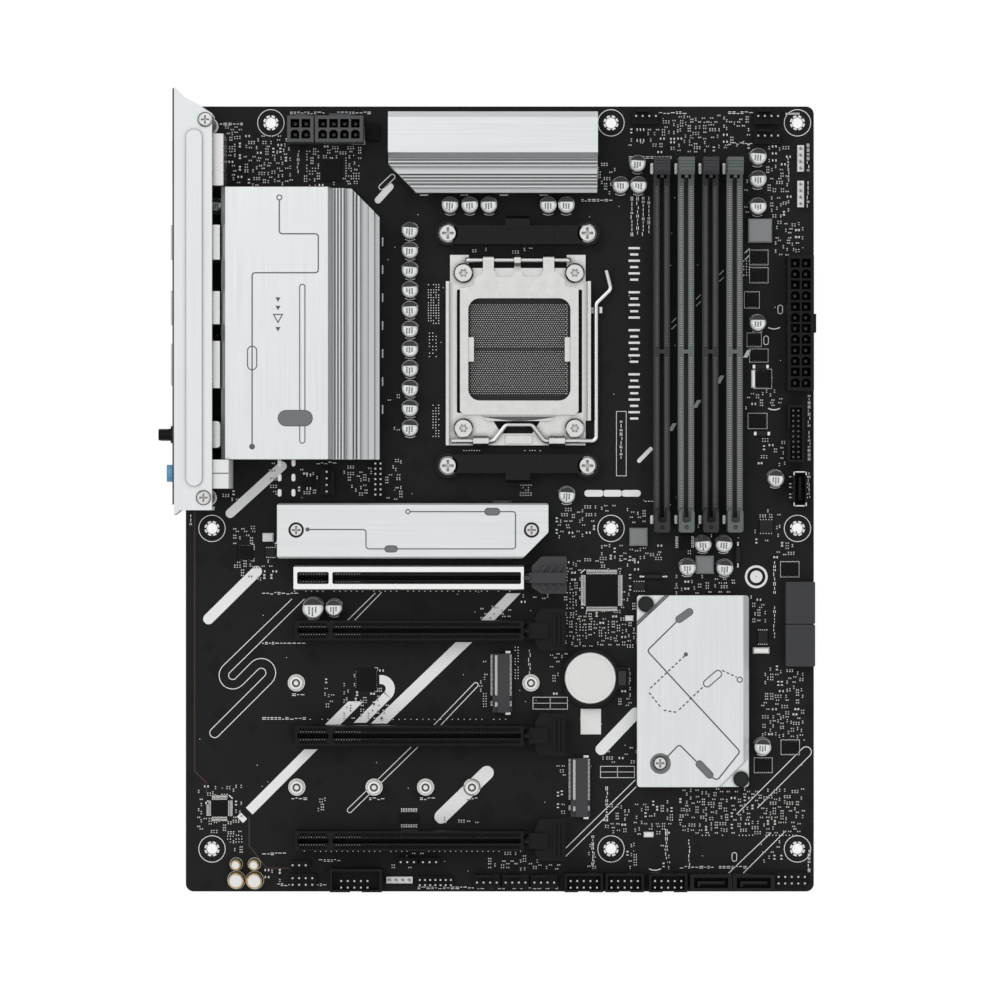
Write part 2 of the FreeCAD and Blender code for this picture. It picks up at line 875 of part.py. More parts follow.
# ================================================================ memory slots
def memory_slot(number):
    """One memory slot housing: body with a keyed slot, fixed tower and latch cheeks."""
    middle = MEMORY_FIRST_ACROSS + number * MEMORY_PITCH
    left = middle - MEMORY_WIDTH / 2
    right = middle + MEMORY_WIDTH / 2
    body = block(left, right, MEMORY_TOP, MEMORY_BOTTOM, 0, MEMORY_HEIGHT)
    tower = slab(
        rectangle(left + 0.1, right - 0.1, MEMORY_BOTTOM - 0.5, MEMORY_TOWER_END),
        0,
        MEMORY_TOWER_HEIGHT,
        1.0,
    )
    cheeks = block(left, right, MEMORY_CHEEK_START, MEMORY_TOP + 1.0, 0, MEMORY_CHEEK_HEIGHT)
    cheek_room = block(
        middle - MEMORY_CHEEK_GAP / 2,
        middle + MEMORY_CHEEK_GAP / 2,
        MEMORY_CHEEK_START - THROUGH,
        MEMORY_TOP,
        0.9,
        MEMORY_CHEEK_HEIGHT + THROUGH,
    )
    slot_half = MEMORY_SLOT_WIDTH / 2
    key_top = MEMORY_KEY_DOWN - MEMORY_KEY_WIDTH / 2
    key_bottom = MEMORY_KEY_DOWN + MEMORY_KEY_WIDTH / 2
    slot_end = MEMORY_BOTTOM + 2.4
    slots = [
        block(
            middle - slot_half,
            middle + slot_half,
            MEMORY_TOP - THROUGH,
            key_top,
            MEMORY_SLOT_FLOOR,
            MEMORY_CHEEK_HEIGHT + THROUGH,
        ),
        block(
            middle - slot_half,
            middle + slot_half,
            key_bottom,
            slot_end,
            MEMORY_SLOT_FLOOR,
            MEMORY_TOWER_HEIGHT + THROUGH,
        ),
    ]
    # long bays each side of the slot hold the contact rows
    bays = []
    bay_inner = slot_half + 0.55
    bay_outer = MEMORY_WIDTH / 2 - 0.7
    for side in (-1, 1):
        for start, end in ((MEMORY_TOP + 2.6, key_top - 1.2), (key_bottom + 1.2, MEMORY_BOTTOM - 1.6)):
            bays.append(
                block(
                    middle + min(side * bay_inner, side * bay_outer),
                    middle + max(side * bay_inner, side * bay_outer),
                    start,
                    end,
                    MEMORY_HEIGHT - 2.4,
                    MEMORY_HEIGHT + THROUGH,
                )
            )
    # the tower's open U and the round dimple behind it
    u_recess = slab(
        rectangle(middle - 1.7, middle + 1.7, MEMORY_BOTTOM - 1.5, MEMORY_BOTTOM + 4.3),
        MEMORY_TOWER_HEIGHT - 4.0,
        MEMORY_TOWER_HEIGHT + THROUGH,
        1.2,
    )
    dimple = disc(
        middle, MEMORY_TOWER_END - 2.0, 0.9, MEMORY_TOWER_HEIGHT - 1.0, MEMORY_TOWER_HEIGHT + THROUGH
    )
    sockets = disc_across(
        LATCH_PIVOT_DOWN, LATCH_PIVOT_HEIGHT, LATCH_PIN_RADIUS + 0.06, left + 0.6, right - 0.6
    )
    shape = joined([body, tower, cheeks])
    return shape.cut([cheek_room] + slots + bays + [u_recess, dimple, sockets])


def memory_latch(number):
    """One memory latch: a pivoting arm with a ridged thumb pad, a nose and a toe."""
    middle = MEMORY_FIRST_ACROSS + number * MEMORY_PITCH
    half = LATCH_BODY_WIDTH / 2
    hub = disc_across(LATCH_PIVOT_DOWN, LATCH_PIVOT_HEIGHT, 2.2, middle - half, middle + half)
    arm = bar_across(
        [
            (LATCH_PIVOT_DOWN - 2.2, LATCH_PIVOT_HEIGHT),
            (LATCH_PIVOT_DOWN - 2.4, LATCH_HEAD_HEIGHT + 0.5),
            (LATCH_PIVOT_DOWN + 2.0, LATCH_HEAD_HEIGHT + 0.5),
            (LATCH_PIVOT_DOWN + 2.2, LATCH_PIVOT_HEIGHT),
        ],
        middle - half,
        middle + half,
    )
    pad_half = MEMORY_WIDTH / 2 - 0.1
    pad = bar_across(
        [
            (LATCH_PIVOT_DOWN - 2.4, LATCH_HEAD_HEIGHT),
            (LATCH_PIVOT_DOWN - 3.9, LATCH_TOP - 1.6),
            (LATCH_PIVOT_DOWN - 3.5, LATCH_TOP - 0.4),
            (LATCH_PIVOT_DOWN + 1.4, LATCH_TOP - 0.4),
            (LATCH_PIVOT_DOWN + 2.9, LATCH_TOP - 2.2),
            (LATCH_PIVOT_DOWN + 2.2, LATCH_HEAD_HEIGHT),
        ],
        middle - pad_half,
        middle + pad_half,
    )
    ridges = [
        block(
            middle - pad_half,
            middle + pad_half,
            LATCH_PIVOT_DOWN - 3.1 + step * 1.15,
            LATCH_PIVOT_DOWN - 2.5 + step * 1.15,
            LATCH_TOP - 0.8,
            LATCH_TOP,
        )
        for step in range(4)
    ]
    nose = block(
        middle - 0.6,
        middle + 0.6,
        LATCH_PIVOT_DOWN + 1.0,
        LATCH_PIVOT_DOWN + 4.0,
        LATCH_HEAD_HEIGHT + 0.6,
        LATCH_HEAD_HEIGHT + 2.4,
    )
    toe = block(
        middle - 0.65,
        middle + 0.65,
        LATCH_PIVOT_DOWN + 1.0,
        LATCH_PIVOT_DOWN + 6.0,
        MEMORY_SLOT_FLOOR + 0.3,
        MEMORY_SLOT_FLOOR + 1.4,
    )
    pin = disc_across(
        LATCH_PIVOT_DOWN,
        LATCH_PIVOT_HEIGHT,
        LATCH_PIN_RADIUS,
        middle - MEMORY_WIDTH / 2 + 0.7,
        middle + MEMORY_WIDTH / 2 - 0.7,
    )
    return joined([hub, arm, pad, nose, toe, pin] + ridges)


# ================================================================ expansion slots
def card_slot_down(step):
    """Where the middle of a slot lies on the slot grid."""
    return CARD_SLOT_FIRST_DOWN + step * CARD_SLOT_GRID


def card_slot(step):
    """One expansion slot housing with a keyed groove and cheeks for its latch."""
    middle = card_slot_down(step)
    top = middle - CARD_SLOT_WIDTH / 2
    bottom = middle + CARD_SLOT_WIDTH / 2
    body = block(CARD_SLOT_START, CARD_SLOT_END, top, bottom, 0, CARD_SLOT_HEIGHT)
    cheeks = block(
        CARD_SLOT_END - 1.0, CARD_CHEEK_END, top + 0.3, bottom - 0.3, 0, CARD_CHEEK_HEIGHT
    )
    groove_half = CARD_GROOVE_WIDTH / 2
    key_start = CARD_KEY_ACROSS - CARD_KEY_WIDTH / 2
    key_end = CARD_KEY_ACROSS + CARD_KEY_WIDTH / 2
    high = CARD_SLOT_HEIGHT + THROUGH
    cuts = [
        block(
            CARD_SLOT_START + 1.0, key_start, middle - groove_half, middle + groove_half,
            CARD_GROOVE_FLOOR, high,
        ),
        block(
            key_end, CARD_SLOT_END - 1.2, middle - groove_half, middle + groove_half,
            CARD_GROOVE_FLOOR, high,
        ),
        block(
            CARD_SLOT_END,
            CARD_CHEEK_END + THROUGH,
            middle - CARD_CHEEK_GAP / 2,
            middle + CARD_CHEEK_GAP / 2,
            0.7,
            high,
        ),
        disc_down(
            CARD_LATCH_PIVOT_ACROSS, CARD_LATCH_PIVOT_HEIGHT, 0.96, top + 0.9, bottom - 0.9
        ),
    ]
    # rows of contact bays beside the groove
    bay_depth = 2.0
    for side in (-1, 1):
        near = side * (groove_half + 0.5)
        far = side * (CARD_SLOT_WIDTH / 2 - 0.8)
        for start, end in (
            (CARD_SLOT_START + 1.6, key_start - 0.6),
            (key_end + 0.6, CARD_SLOT_END - 1.8),
        ):
            cuts.append(
                block(
                    start,
                    end,
                    middle + min(near, far),
                    middle + max(near, far),
                    CARD_SLOT_HEIGHT - bay_depth,
                    high,
                )
            )
    return joined([body, cheeks]).cut(cuts)


def card_slot_shield():
    """Sheet metal shell over the first expansion slot, with a window for each groove."""
    middle = card_slot_down(CARD_SLOT_STEPS[0])
    half = CARD_SLOT_WIDTH / 2
    left = CARD_SLOT_START - SHIELD_THICKNESS
    right = CARD_SLOT_END + 0.3
    high = CARD_SLOT_HEIGHT + SHIELD_THICKNESS
    outer = bar_across(
        [
            (middle - SHIELD_WIDTH / 2, 0.0),
            (middle - SHIELD_WIDTH / 2, 1.6),
            (middle - half - SHIELD_THICKNESS, 2.6),
            (middle - half - SHIELD_THICKNESS, high),
            (middle + half + SHIELD_THICKNESS, high),
            (middle + half + SHIELD_THICKNESS, 2.6),
            (middle + SHIELD_WIDTH / 2, 1.6),
            (middle + SHIELD_WIDTH / 2, 0.0),
        ],
        left,
        right - 0.3,
    )
    room = block(
        CARD_SLOT_START, right + THROUGH, middle - half, middle + half, -THROUGH, CARD_SLOT_HEIGHT
    )
    windows = [
        slab(
            rectangle(start, end, middle - 2.3, middle + 2.3),
            CARD_SLOT_HEIGHT - THROUGH,
            high + THROUGH,
            0.6,
        )
        for start, end in (
            (CARD_SLOT_START + 0.9, CARD_KEY_ACROSS - 0.7),
            (CARD_KEY_ACROSS + 0.7, CARD_SLOT_END - 1.1),
        )
    ]
    return outer.cut([room] + windows)


def card_latch(step):
    """One expansion slot latch: a hub between the cheeks and a stepped wing."""
    middle = card_slot_down(step)
    wide = step == 0
    hub_half = CARD_CHEEK_GAP / 2 - 0.2
    pin_half = CARD_SLOT_WIDTH / 2 - 1.05
    across = CARD_LATCH_PIVOT_ACROSS
    height = CARD_LATCH_PIVOT_HEIGHT
    hub = disc_down(across, height, 2.0, middle - hub_half, middle + hub_half)
    pin = disc_down(across, height, 0.9, middle - pin_half, middle + pin_half)
    arm = bar_down(
        [
            (across - 1.9, height),
            (across - 1.9, 9.2),
            (across + 2.4, 10.4),
            (across + 4.4, 7.6),
            (across + 2.0, height),
        ],
        middle - hub_half,
        middle + hub_half,
    )
    nose = block(
        CARD_SLOT_END + 0.2, across, middle - 0.7, middle + 0.7, 10.2, 12.4
    )
    if wide:
        wing_outline = [
            (across + 0.6, middle - 4.4),
            (across + 4.4, middle - 8.3),
            (CARD_LATCH_END + 0.4, middle - 8.3),
            (CARD_LATCH_END + 0.4, middle + 6.1),
            (across + 4.4, middle + 6.1),
            (across + 0.6, middle + 3.6),
        ]
        wing = slab(wing_outline, 7.6, 9.6, 0.8)
        spine = block(across - 0.4, CARD_LATCH_END, middle - 2.0, middle + 2.0, 9.0, 11.4)
        ribs = [
            slab(
                [
                    (across + 3.6 + 3.2 * i, middle + side * 1.8),
                    (across + 4.6 + 3.2 * i, middle + side * 1.8),
                    (across + 6.8 + 3.2 * i, middle + side * 5.0),
                    (across + 5.8 + 3.2 * i, middle + side * 5.0),
                ],
                9.4,
                10.6,
            )
            for i in range(3)
            for side in (-1, 1)
        ]
        pieces = [hub, pin, arm, nose, wing, spine] + ribs
    else:
        wing = slab(
            [
                (CARD_WING_SHOULDER - 2.0, middle - 4.7),
                (CARD_WING_SHOULDER, middle - CARD_WING_UPPER),
                (CARD_LATCH_END, middle - CARD_WING_UPPER),
                (CARD_LATCH_END, middle + CARD_WING_LOWER),
                (CARD_WING_SHOULDER, middle + CARD_WING_LOWER),
                (CARD_WING_SHOULDER - 2.0, middle + 4.7),
            ],
            7.6,
            9.4,
            0.7,
        )
        step_block = slab(
            rectangle(across - 0.4, across + 7.0, middle - 3.0, middle + 3.0), 9.0, 10.9, 0.5
        )
        bars = [
            block(
                across + 9.0 + 1.7 * i,
                across + 9.9 + 1.7 * i,
                middle - 6.4,
                middle + 6.0,
                9.2,
                10.2,
            )
            for i in range(3)
        ]
        pieces = [hub, pin, arm, nose, wing, step_block] + bars
    return joined(pieces)


# ================================================================ drive slots
def drive_socket(across, down):
    """One edge socket for a drive card, its mouth towards the rear of the board."""
    left = across - DRIVE_SOCKET_DEPTH / 2
    right = across + DRIVE_SOCKET_DEPTH / 2
    top = down - DRIVE_SOCKET_LENGTH / 2
    bottom = down + DRIVE_SOCKET_LENGTH / 2
    lip_left = left + 0.6
    body_left = lip_left + DRIVE_SOCKET_LIP
    body_right = right - 1.0
    lip = slab(rectangle(lip_left, right, top, bottom), 0.0, DRIVE_SOCKET_LIP_HEIGHT, 0.3)
    body = slab(rectangle(body_left, body_right, top, bottom), 0.0, DRIVE_SOCKET_HEIGHT, 0.4)
    mouth = block(
        body_left - THROUGH, right - 2.4, top + 0.5, bottom - 0.5,
        DRIVE_SOCKET_LIP_HEIGHT, DRIVE_SOCKET_LIP_HEIGHT + 1.2,
    )
    # a polarising post closes the mouth near one end
    key = block(
        lip_left, body_right - 1.0, bottom - 6.4, bottom - 4.2, 1.8, DRIVE_SOCKET_HEIGHT - 0.4
    )
    return joined([joined([lip, body]).cut(mouth), key])


def drive_sockets():
    """The three drive sockets."""
    return [
        drive_socket(across, down)
        for across, down in zip(DRIVE_SOCKET_ACROSS, DRIVE_SLOT_DOWNS)
    ]


def standoff(across, down, radius, high, thread):
    """A shouldered threaded post riveted through the board."""
    stem = disc(across, down, SMALL_STEM_RADIUS, UNDERSIDE - 0.3, 0)
    collar = disc(across, down, radius + 0.5, 0, 0.6)
    post = disc(across, down, radius, 0, high)
    hole = disc(across, down, thread, 0.3, high + THROUGH)
    return joined([stem, collar, post]).cut(hole)


COVER_STANDOFF_HEIGHT = 33.2
COVER_THREAD_RADIUS = 1.1


def standoffs():
    """Posts for drive cards and for the rear cover."""
    posts = [
        standoff(x, y, DRIVE_STANDOFF_RADIUS, DRIVE_STANDOFF_HEIGHT, DRIVE_THREAD_RADIUS)
        for x, y in DRIVE_STANDOFFS
    ]
    posts += [
        standoff(x, y, 2.6, COVER_STANDOFF_HEIGHT, COVER_THREAD_RADIUS) for x, y in COVER_SCREWS
    ]
    return posts


def drive_heatsink():
    """Plate heatsink over the first drive slot, with one corner cut off."""
    top = 154.0
    bottom = 175.4
    plate = slab(
        [(35.8, top), (140.7, top), (140.7, 165.3), (130.7, bottom), (35.8, bottom)],
        DRIVE_HEATSINK_BOTTOM,
        DRIVE_HEATSINK_TOP,
        1.0,
    )
    # a bevelled rim along the long edges
    bevel = 0.8
    high = DRIVE_HEATSINK_TOP
    rims = [
        bar_across(
            [
                (edge - side * 0.1, high - bevel),
                (edge - side * 0.1, high + 0.1),
                (edge + side * bevel, high + 0.1),
            ],
            30.0,
            145.0,
        )
        for edge, side in ((top, 1), (bottom, -1))
    ]
    down = DRIVE_SLOT_DOWNS[0]
    wells = [disc(x, down, 3.0, high - 2.2, high + THROUGH) for x in DRIVE_SCREWS]
    holes = [disc(x, down, 1.4, 0, high) for x in DRIVE_SCREWS]
    return plate.cut(rims + wells + holes)


def drive_heatsink_screws():
    """Two captive screws that hold the drive heatsink."""
    seat = DRIVE_HEATSINK_TOP - 2.2
    return [
        headed_screw(x, DRIVE_SLOT_DOWNS[0], 2.7, seat, seat + 1.8, 0.9, 1.2)
        for x in DRIVE_SCREWS
    ]


def drive_thermal_pad():
    """Soft pad under the drive heatsink, over the drive's chips."""
    down = DRIVE_SLOT_DOWNS[0]
    return block(
        48.0, 116.0, down - 10.0, down + 10.0, DRIVE_HEATSINK_BOTTOM - 1.0, DRIVE_HEATSINK_BOTTOM
    )


# ================================================================ heatsinks
def grooves_down(first, count, height, top, bottom):
    """Cutters for a group of thin grooves that run down the board."""
    return [
        block(
            first + i * GROOVE_PITCH,
            first + i * GROOVE_PITCH + GROOVE_WIDTH,
            top - THROUGH,
            bottom + THROUGH,
            height - GROOVE_DEPTH,
            height + THROUGH,
        )
        for i in range(count)
    ]


def grooves_across(first, count, height, left, right):
    """Cutters for a group of thin grooves that run across the board."""
    return [
        block(
            left - THROUGH,
            right + THROUGH,
            first + i * GROOVE_PITCH,
            first + i * GROOVE_PITCH + GROOVE_WIDTH,
            height - GROOVE_DEPTH,
            height + THROUGH,
        )
        for i in range(count)
    ]


def vrm_heatsink_left():
    """Tall power heatsink beside the rear ports, stepping down to the socket."""
    profile = [
        (15.3, 6.0),
        (15.3, 27.6),
        (16.9, SINK_HIGH),
        (56.2, SINK_HIGH),
        (57.9, 20.6),
        (62.5, 20.6),
        (62.9, 17.6),
        (67.0, 17.6),
        (67.2, 18.8),
        (68.1, 18.8),
        (68.3, 15.0),
        (71.2, 15.0),
        (71.4, 15.6),
        (73.5, 15.6),
        (73.8, 12.4),
        (75.5, 11.8),
        (75.5, 9.2),
        (64.6, 9.2),
        (64.6, 2.2),
        (55.4, 2.2),
        (55.4, 6.0),
    ]
    body = bar_down(profile, LEFT_SINK_TOP, LEFT_SINK_BOTTOM)
    cuts = grooves_down(58.3, 4, 20.6, LEFT_SINK_TOP, LEFT_SINK_BOTTOM)
    cuts += grooves_down(65.3, 2, 17.6, LEFT_SINK_TOP, LEFT_SINK_BOTTOM)
    # the top right corner is cut off at 45 degrees
    reach = 11.1
    cuts.append(
        slab(
            [
                (75.5 - reach, LEFT_SINK_TOP - 1.0),
                (80.0, LEFT_SINK_TOP - 1.0),
                (80.0, LEFT_SINK_TOP + reach + 4.0),
                (75.5 - reach, LEFT_SINK_TOP - 0.4),
            ],
            0,
            40,
        )
    )
    # side fins cut in from the rear face, below the ports' tops
    fin_gap = 2.2
    fin_pitch = 4.4
    for i in range(4):
        low = 8.4 + i * fin_pitch
        cuts.append(block(10.0, 44.0, 30.0, 140.0, low, low + fin_gap))
    cuts += [disc(x, y, SINK_SCREW_RADIUS + 0.05, 0, 7.6) for x, y in LEFT_SINK_SCREWS]
    return body.cut(cuts)


def vrm_heatsink_top():
    """Power heatsink along the board's top edge, stepping down to the socket."""
    profile = [
        (3.9, 4.0),
        (3.9, 25.0),
        (6.1, TOP_SINK_HIGH),
        (19.7, TOP_SINK_HIGH),
        (21.6, 19.8),
        (23.8, 19.8),
        (24.0, 20.4),
        (24.4, 20.4),
        (24.6, 16.6),
        (27.0, 16.6),
        (31.5, 15.0),
        (31.7, 15.8),
        (32.4, 15.8),
        (32.6, 12.6),
        (34.2, 11.8),
        (34.2, 9.2),
        (26.0, 9.2),
        (26.0, 2.2),
        (18.0, 2.2),
        (18.0, 4.0),
    ]
    body = bar_across(profile, TOP_SINK_START, TOP_SINK_END)
    cuts = grooves_across(21.9, 2, 19.8, TOP_SINK_START, TOP_SINK_END)
    cuts += grooves_across(27.3, 4, 15.9, TOP_SINK_START, TOP_SINK_END)
    reach = 10.6
    cuts.append(
        slab(
            [
                (TOP_SINK_START - 1.0, 34.2 - reach - 1.0),
                (TOP_SINK_START + reach, 34.2),
                (TOP_SINK_START + reach, 40.0),
                (TOP_SINK_START - 1.0, 40.0),
            ],
            0,
            40,
        )
    )
    for i in range(4):
        low = 6.4 + i * 4.4
        cuts.append(block(70.0, 170.0, 0.0, 14.0, low, low + 2.0))
    cuts += [disc(x, y, SINK_SCREW_RADIUS + 0.05, 0, 5.8) for x, y in TOP_SINK_SCREWS]
    return body.cut(cuts)


LEFT_PHASE_PITCH = 10.85
LEFT_PHASE_FIRST = 47.1
LEFT_PHASES = 8
TOP_PHASE_PITCH = 15.5
TOP_PHASE_FIRST = 92.5
TOP_PHASES = 4


def left_phase_downs():
    return [LEFT_PHASE_FIRST + i * LEFT_PHASE_PITCH for i in range(LEFT_PHASES)]


def top_phase_acrosses():
    return [TOP_PHASE_FIRST + i * TOP_PHASE_PITCH for i in range(TOP_PHASES)]


def choke(left, top, size, high):
    """A moulded choke with a bevelled lid."""
    lid = 0.8
    base = block(left, left + size, top, top + size, 0, high - lid)
    cap = slab(
        rectangle(left + lid / 2, left + size - lid / 2, top + lid / 2, top + size - lid / 2),
        high - lid,
        high,
        0.8,
    )
    return joined([base, cap])


def inductors():
    """Power chokes under the heatsinks and the larger ones in the open."""
    solids = [choke(66.2, down - 3.9, 7.8, 8.4) for down in left_phase_downs()]
    solids += [choke(across - 3.6, 26.6, 7.2, 8.4) for across in top_phase_acrosses()]
    solids.append(choke(218.2, 43.8, 9.2, 5.0))
    solids.append(choke(172.2, 163.6, 7.0, 3.6))
    solids.append(choke(197.9, 174.4, 7.0, 3.6))
    return solids


def thermal_pads():
    """Pads between the power stages and their heatsinks, and on the chipset."""
    first = left_phase_downs()[0]
    last = left_phase_downs()[-1]
    left = block(56.0, 64.0, first - 5.0, last + 5.0, 1.0, 2.2)
    start = top_phase_acrosses()[0]
    end = top_phase_acrosses()[-1]
    top = block(start - 5.0, end + 5.0, 18.5, 25.5, 1.0, 2.2)
    chipset = block(188.0, 206.0, 217.0, 235.0, 1.6, 2.4)
    return [left, top, chipset]


def heatsink_screws():
    """Screws driven from under the board into the power heatsinks, and the chipset's."""
    across, down = CHIPSET_SCREW
    screws = [headed_screw(across, down, 2.7, 4.2, 6.0, 1.45, 0.2)]
    for across, down in SINK_SCREWS:
        head_low = UNDERSIDE - 1.7
        head = disc(across, down, 3.0, head_low, UNDERSIDE)
        shank = disc(across, down, SINK_SCREW_RADIUS, UNDERSIDE, 5.4)
        recess = cross_recess(across, down, 1.8, head_low - THROUGH, head_low + 1.0)
        screws.append(joined([head, shank]).cut(recess))
    return screws


def chipset_heatsink():
    """Low plate heatsink over the chipset, with stepped corners and a screw well."""
    high = CHIPSET_HEIGHT
    body = slab(
        rectangle(CHIPSET_START, CHIPSET_END, CHIPSET_TOP, CHIPSET_BOTTOM), 2.4, high, 1.2
    )
    # two opposite corners are stepped down for the bumpers
    step_low = CHIPSET_CORNER_HEIGHT
    corner_reach = 13.8
    corner_top = slab(
        [
            (CHIPSET_START - 1.0, CHIPSET_TOP - 1.0),
            (CHIPSET_START + corner_reach - 1.0, CHIPSET_TOP - 1.0),
            (CHIPSET_START - 1.0, CHIPSET_TOP + corner_reach - 1.0),
        ],
        step_low,
        high + THROUGH,
    )
    corner_bottom = slab(
        [
            (CHIPSET_END + 1.0, CHIPSET_BOTTOM + 1.0),
            (CHIPSET_END - corner_reach + 1.0, CHIPSET_BOTTOM + 1.0),
            (CHIPSET_END + 1.0, CHIPSET_BOTTOM - corner_reach + 1.0),
        ],
        step_low,
        high + THROUGH,
    )
    bevel = bar_down(
        [
            (CHIPSET_END - 2.4, high + 0.1),
            (CHIPSET_END + 0.1, high - 1.9),
            (CHIPSET_END + 0.1, high + 0.1),
        ],
        CHIPSET_TOP - 1.0,
        CHIPSET_BOTTOM + 1.0,
    )
    across, down = CHIPSET_SCREW
    well = disc(across, down, 3.8, 4.2, high + THROUGH)
    hole = disc(across, down, 1.6, 0, high)
    return body.cut([corner_top, corner_bottom, bevel, well, hole])


def chipset_bumpers():
    """Two round rubber bumpers on the chipset heatsink's stepped corners."""
    return [
        turned(
            across,
            down,
            [
                (0, CHIPSET_CORNER_HEIGHT),
                (3.0, CHIPSET_CORNER_HEIGHT),
                (3.0, CHIPSET_CORNER_HEIGHT + 1.2),
                (2.4, CHIPSET_CORNER_HEIGHT + 1.8),
                (0, CHIPSET_CORNER_HEIGHT + 1.8),
            ],
        )
        for across, down in ((178.4, 193.1), (215.3, 260.8))
    ]


# ================================================================ rear panel
PORT_BLOCKS = {
    "video": (12.5, 32.4, 16.1, 27.0),
    "usb_upper": (47.6, 60.9, STACK_END, 30.0),
    "usb_lower": (73.0, 85.6, STACK_END, 30.0),
    "network": (92.0, 110.0, STACK_END, 29.0),
    "wireless": (122.6, 132.8, STACK_END, 26.0),
    "audio": (137.4, 148.4, 18.4, 33.0),
}
BUTTON_DOWN = 39.4
BUTTON_HEIGHT = 6.4
BUTTON_RADIUS = 1.9
ANTENNA_DOWN = 127.7
ANTENNA_HEIGHTS = (8.0, 19.0)
AUDIO_DOWN = 142.6
AUDIO_HEIGHTS = (5.8, 16.6, 27.4)
USB_WIDTH = 12.6
USB_OPENING = 5.2
USB_HEIGHTS = (2.2, 9.4, 16.6, 23.8)
PORT_DEPTH = 10.5
SLEEVE_SKIN = 0.3
OVAL_HEIGHT = 11.3
OVAL_RADIUS = 1.6
OVAL_DEPTH = 5.0


def port_body(name):
    """The outside of one rear connector."""
    top, bottom, end, high = PORT_BLOCKS[name]
    return block(PANEL_INSIDE, end, top, bottom, 0, high)


def port_middle(name):
    """Where the middle of one rear connector lies down the board."""
    return (PORT_BLOCKS[name][0] + PORT_BLOCKS[name][1]) / 2


def sleeve(middle, half, low, high):
    """A flared metal sleeve that stands out of the panel around a port."""
    return block(PORT_LIP, PANEL_INSIDE + 0.5, middle - half, middle + half, low, high)


def usb_opening(middle, low):
    """The mouth of one rectangular serial port."""
    half = USB_WIDTH / 2
    return block(
        PORT_LIP - THROUGH, PORT_DEPTH, middle - half, middle + half, low, low + USB_OPENING
    )


def usb_sleeve(middle, low):
    """The sleeve of one rectangular serial port."""
    return sleeve(
        middle, USB_WIDTH / 2 + SLEEVE_SKIN, low - SLEEVE_SKIN, low + USB_OPENING + SLEEVE_SKIN
    )


def usb_stacks():
    """Two stacks of four serial ports and the network stack, in metal shells."""
    solids = []
    for name in ("usb_upper", "usb_lower"):
        middle = port_middle(name)
        sleeves = [usb_sleeve(middle, low) for low in USB_HEIGHTS]
        mouths = [usb_opening(middle, low) for low in USB_HEIGHTS]
        solids.append(joined([port_body(name)] + sleeves).cut(mouths))
    # the network jack stands over one serial port and one small oval port
    middle = port_middle("network")
    jack_sleeve = sleeve(middle, 8.0, 15.0, 28.4)
    jack_mouth = slab(
        rectangle(PORT_LIP - THROUGH, PORT_DEPTH, middle - 5.9, middle + 5.9), 16.2, 24.6
    )
    clip_mouth = block(
        PORT_LIP - THROUGH, PORT_DEPTH, middle - 2.1, middle + 2.1, 24.0, 27.2
    )
    oval_low = OVAL_HEIGHT - OVAL_RADIUS
    oval_high = OVAL_HEIGHT + OVAL_RADIUS
    oval_sleeve = sleeve(middle, 4.9, oval_low - 0.4, oval_high + 0.4)
    oval = joined(
        [
            block(
                PORT_LIP - THROUGH, OVAL_DEPTH, middle - 2.9, middle + 2.9, oval_low, oval_high
            ),
            disc_across(middle - 2.9, OVAL_HEIGHT, OVAL_RADIUS, PORT_LIP - THROUGH, OVAL_DEPTH),
            disc_across(middle + 2.9, OVAL_HEIGHT, OVAL_RADIUS, PORT_LIP - THROUGH, OVAL_DEPTH),
        ]
    )
    sleeves = [usb_sleeve(middle, USB_HEIGHTS[0]), jack_sleeve, oval_sleeve]
    mouths = [usb_opening(middle, USB_HEIGHTS[0]), jack_mouth, clip_mouth, oval]
    solids.append(joined([port_body("network")] + sleeves).cut(mouths))
    return solids


def video_ports():
    """Two stacked display ports in one shell, each mouth with its cut corners."""
    middle = port_middle("video")
    low_port = 4.0
    high_port = 15.0
    low_half = 7.4
    high_half = 8.1
    sleeves = [
        sleeve(middle, low_half + 0.5, low_port - 0.5, low_port + 5.9),
        sleeve(middle, high_half + 0.5, high_port - 0.5, high_port + 5.5),
    ]
    tapered = bar_across(
        [
            (middle - low_half + 1.6, low_port),
            (middle + low_half - 1.6, low_port),
            (middle + low_half, low_port + 2.0),
            (middle + low_half, low_port + 5.4),
            (middle - low_half, low_port + 5.4),
            (middle - low_half, low_port + 2.0),
        ],
        PORT_LIP - THROUGH,
        PORT_DEPTH,
    )
    cut_corner = bar_across(
        [
            (middle - high_half, high_port),
            (middle + high_half, high_port),
            (middle + high_half, high_port + 5.0),
            (middle - high_half + 2.2, high_port + 5.0),
            (middle - high_half, high_port + 2.8),
        ],
        PORT_LIP - THROUGH,
        PORT_DEPTH,
    )
    return joined([port_body("video")] + sleeves).cut([tapered, cut_corner])


def wireless_module():
    """Upright shielded module behind the antenna jacks."""
    top, bottom, end, high = PORT_BLOCKS["wireless"]
    body = slab(rectangle(PANEL_INSIDE, end, top, bottom), 0, high, 1.4)
    bores = [
        disc_across(ANTENNA_DOWN, height, 2.4, PANEL_INSIDE - THROUGH, 4.0)
        for height in ANTENNA_HEIGHTS
    ]
    return body.cut(bores)


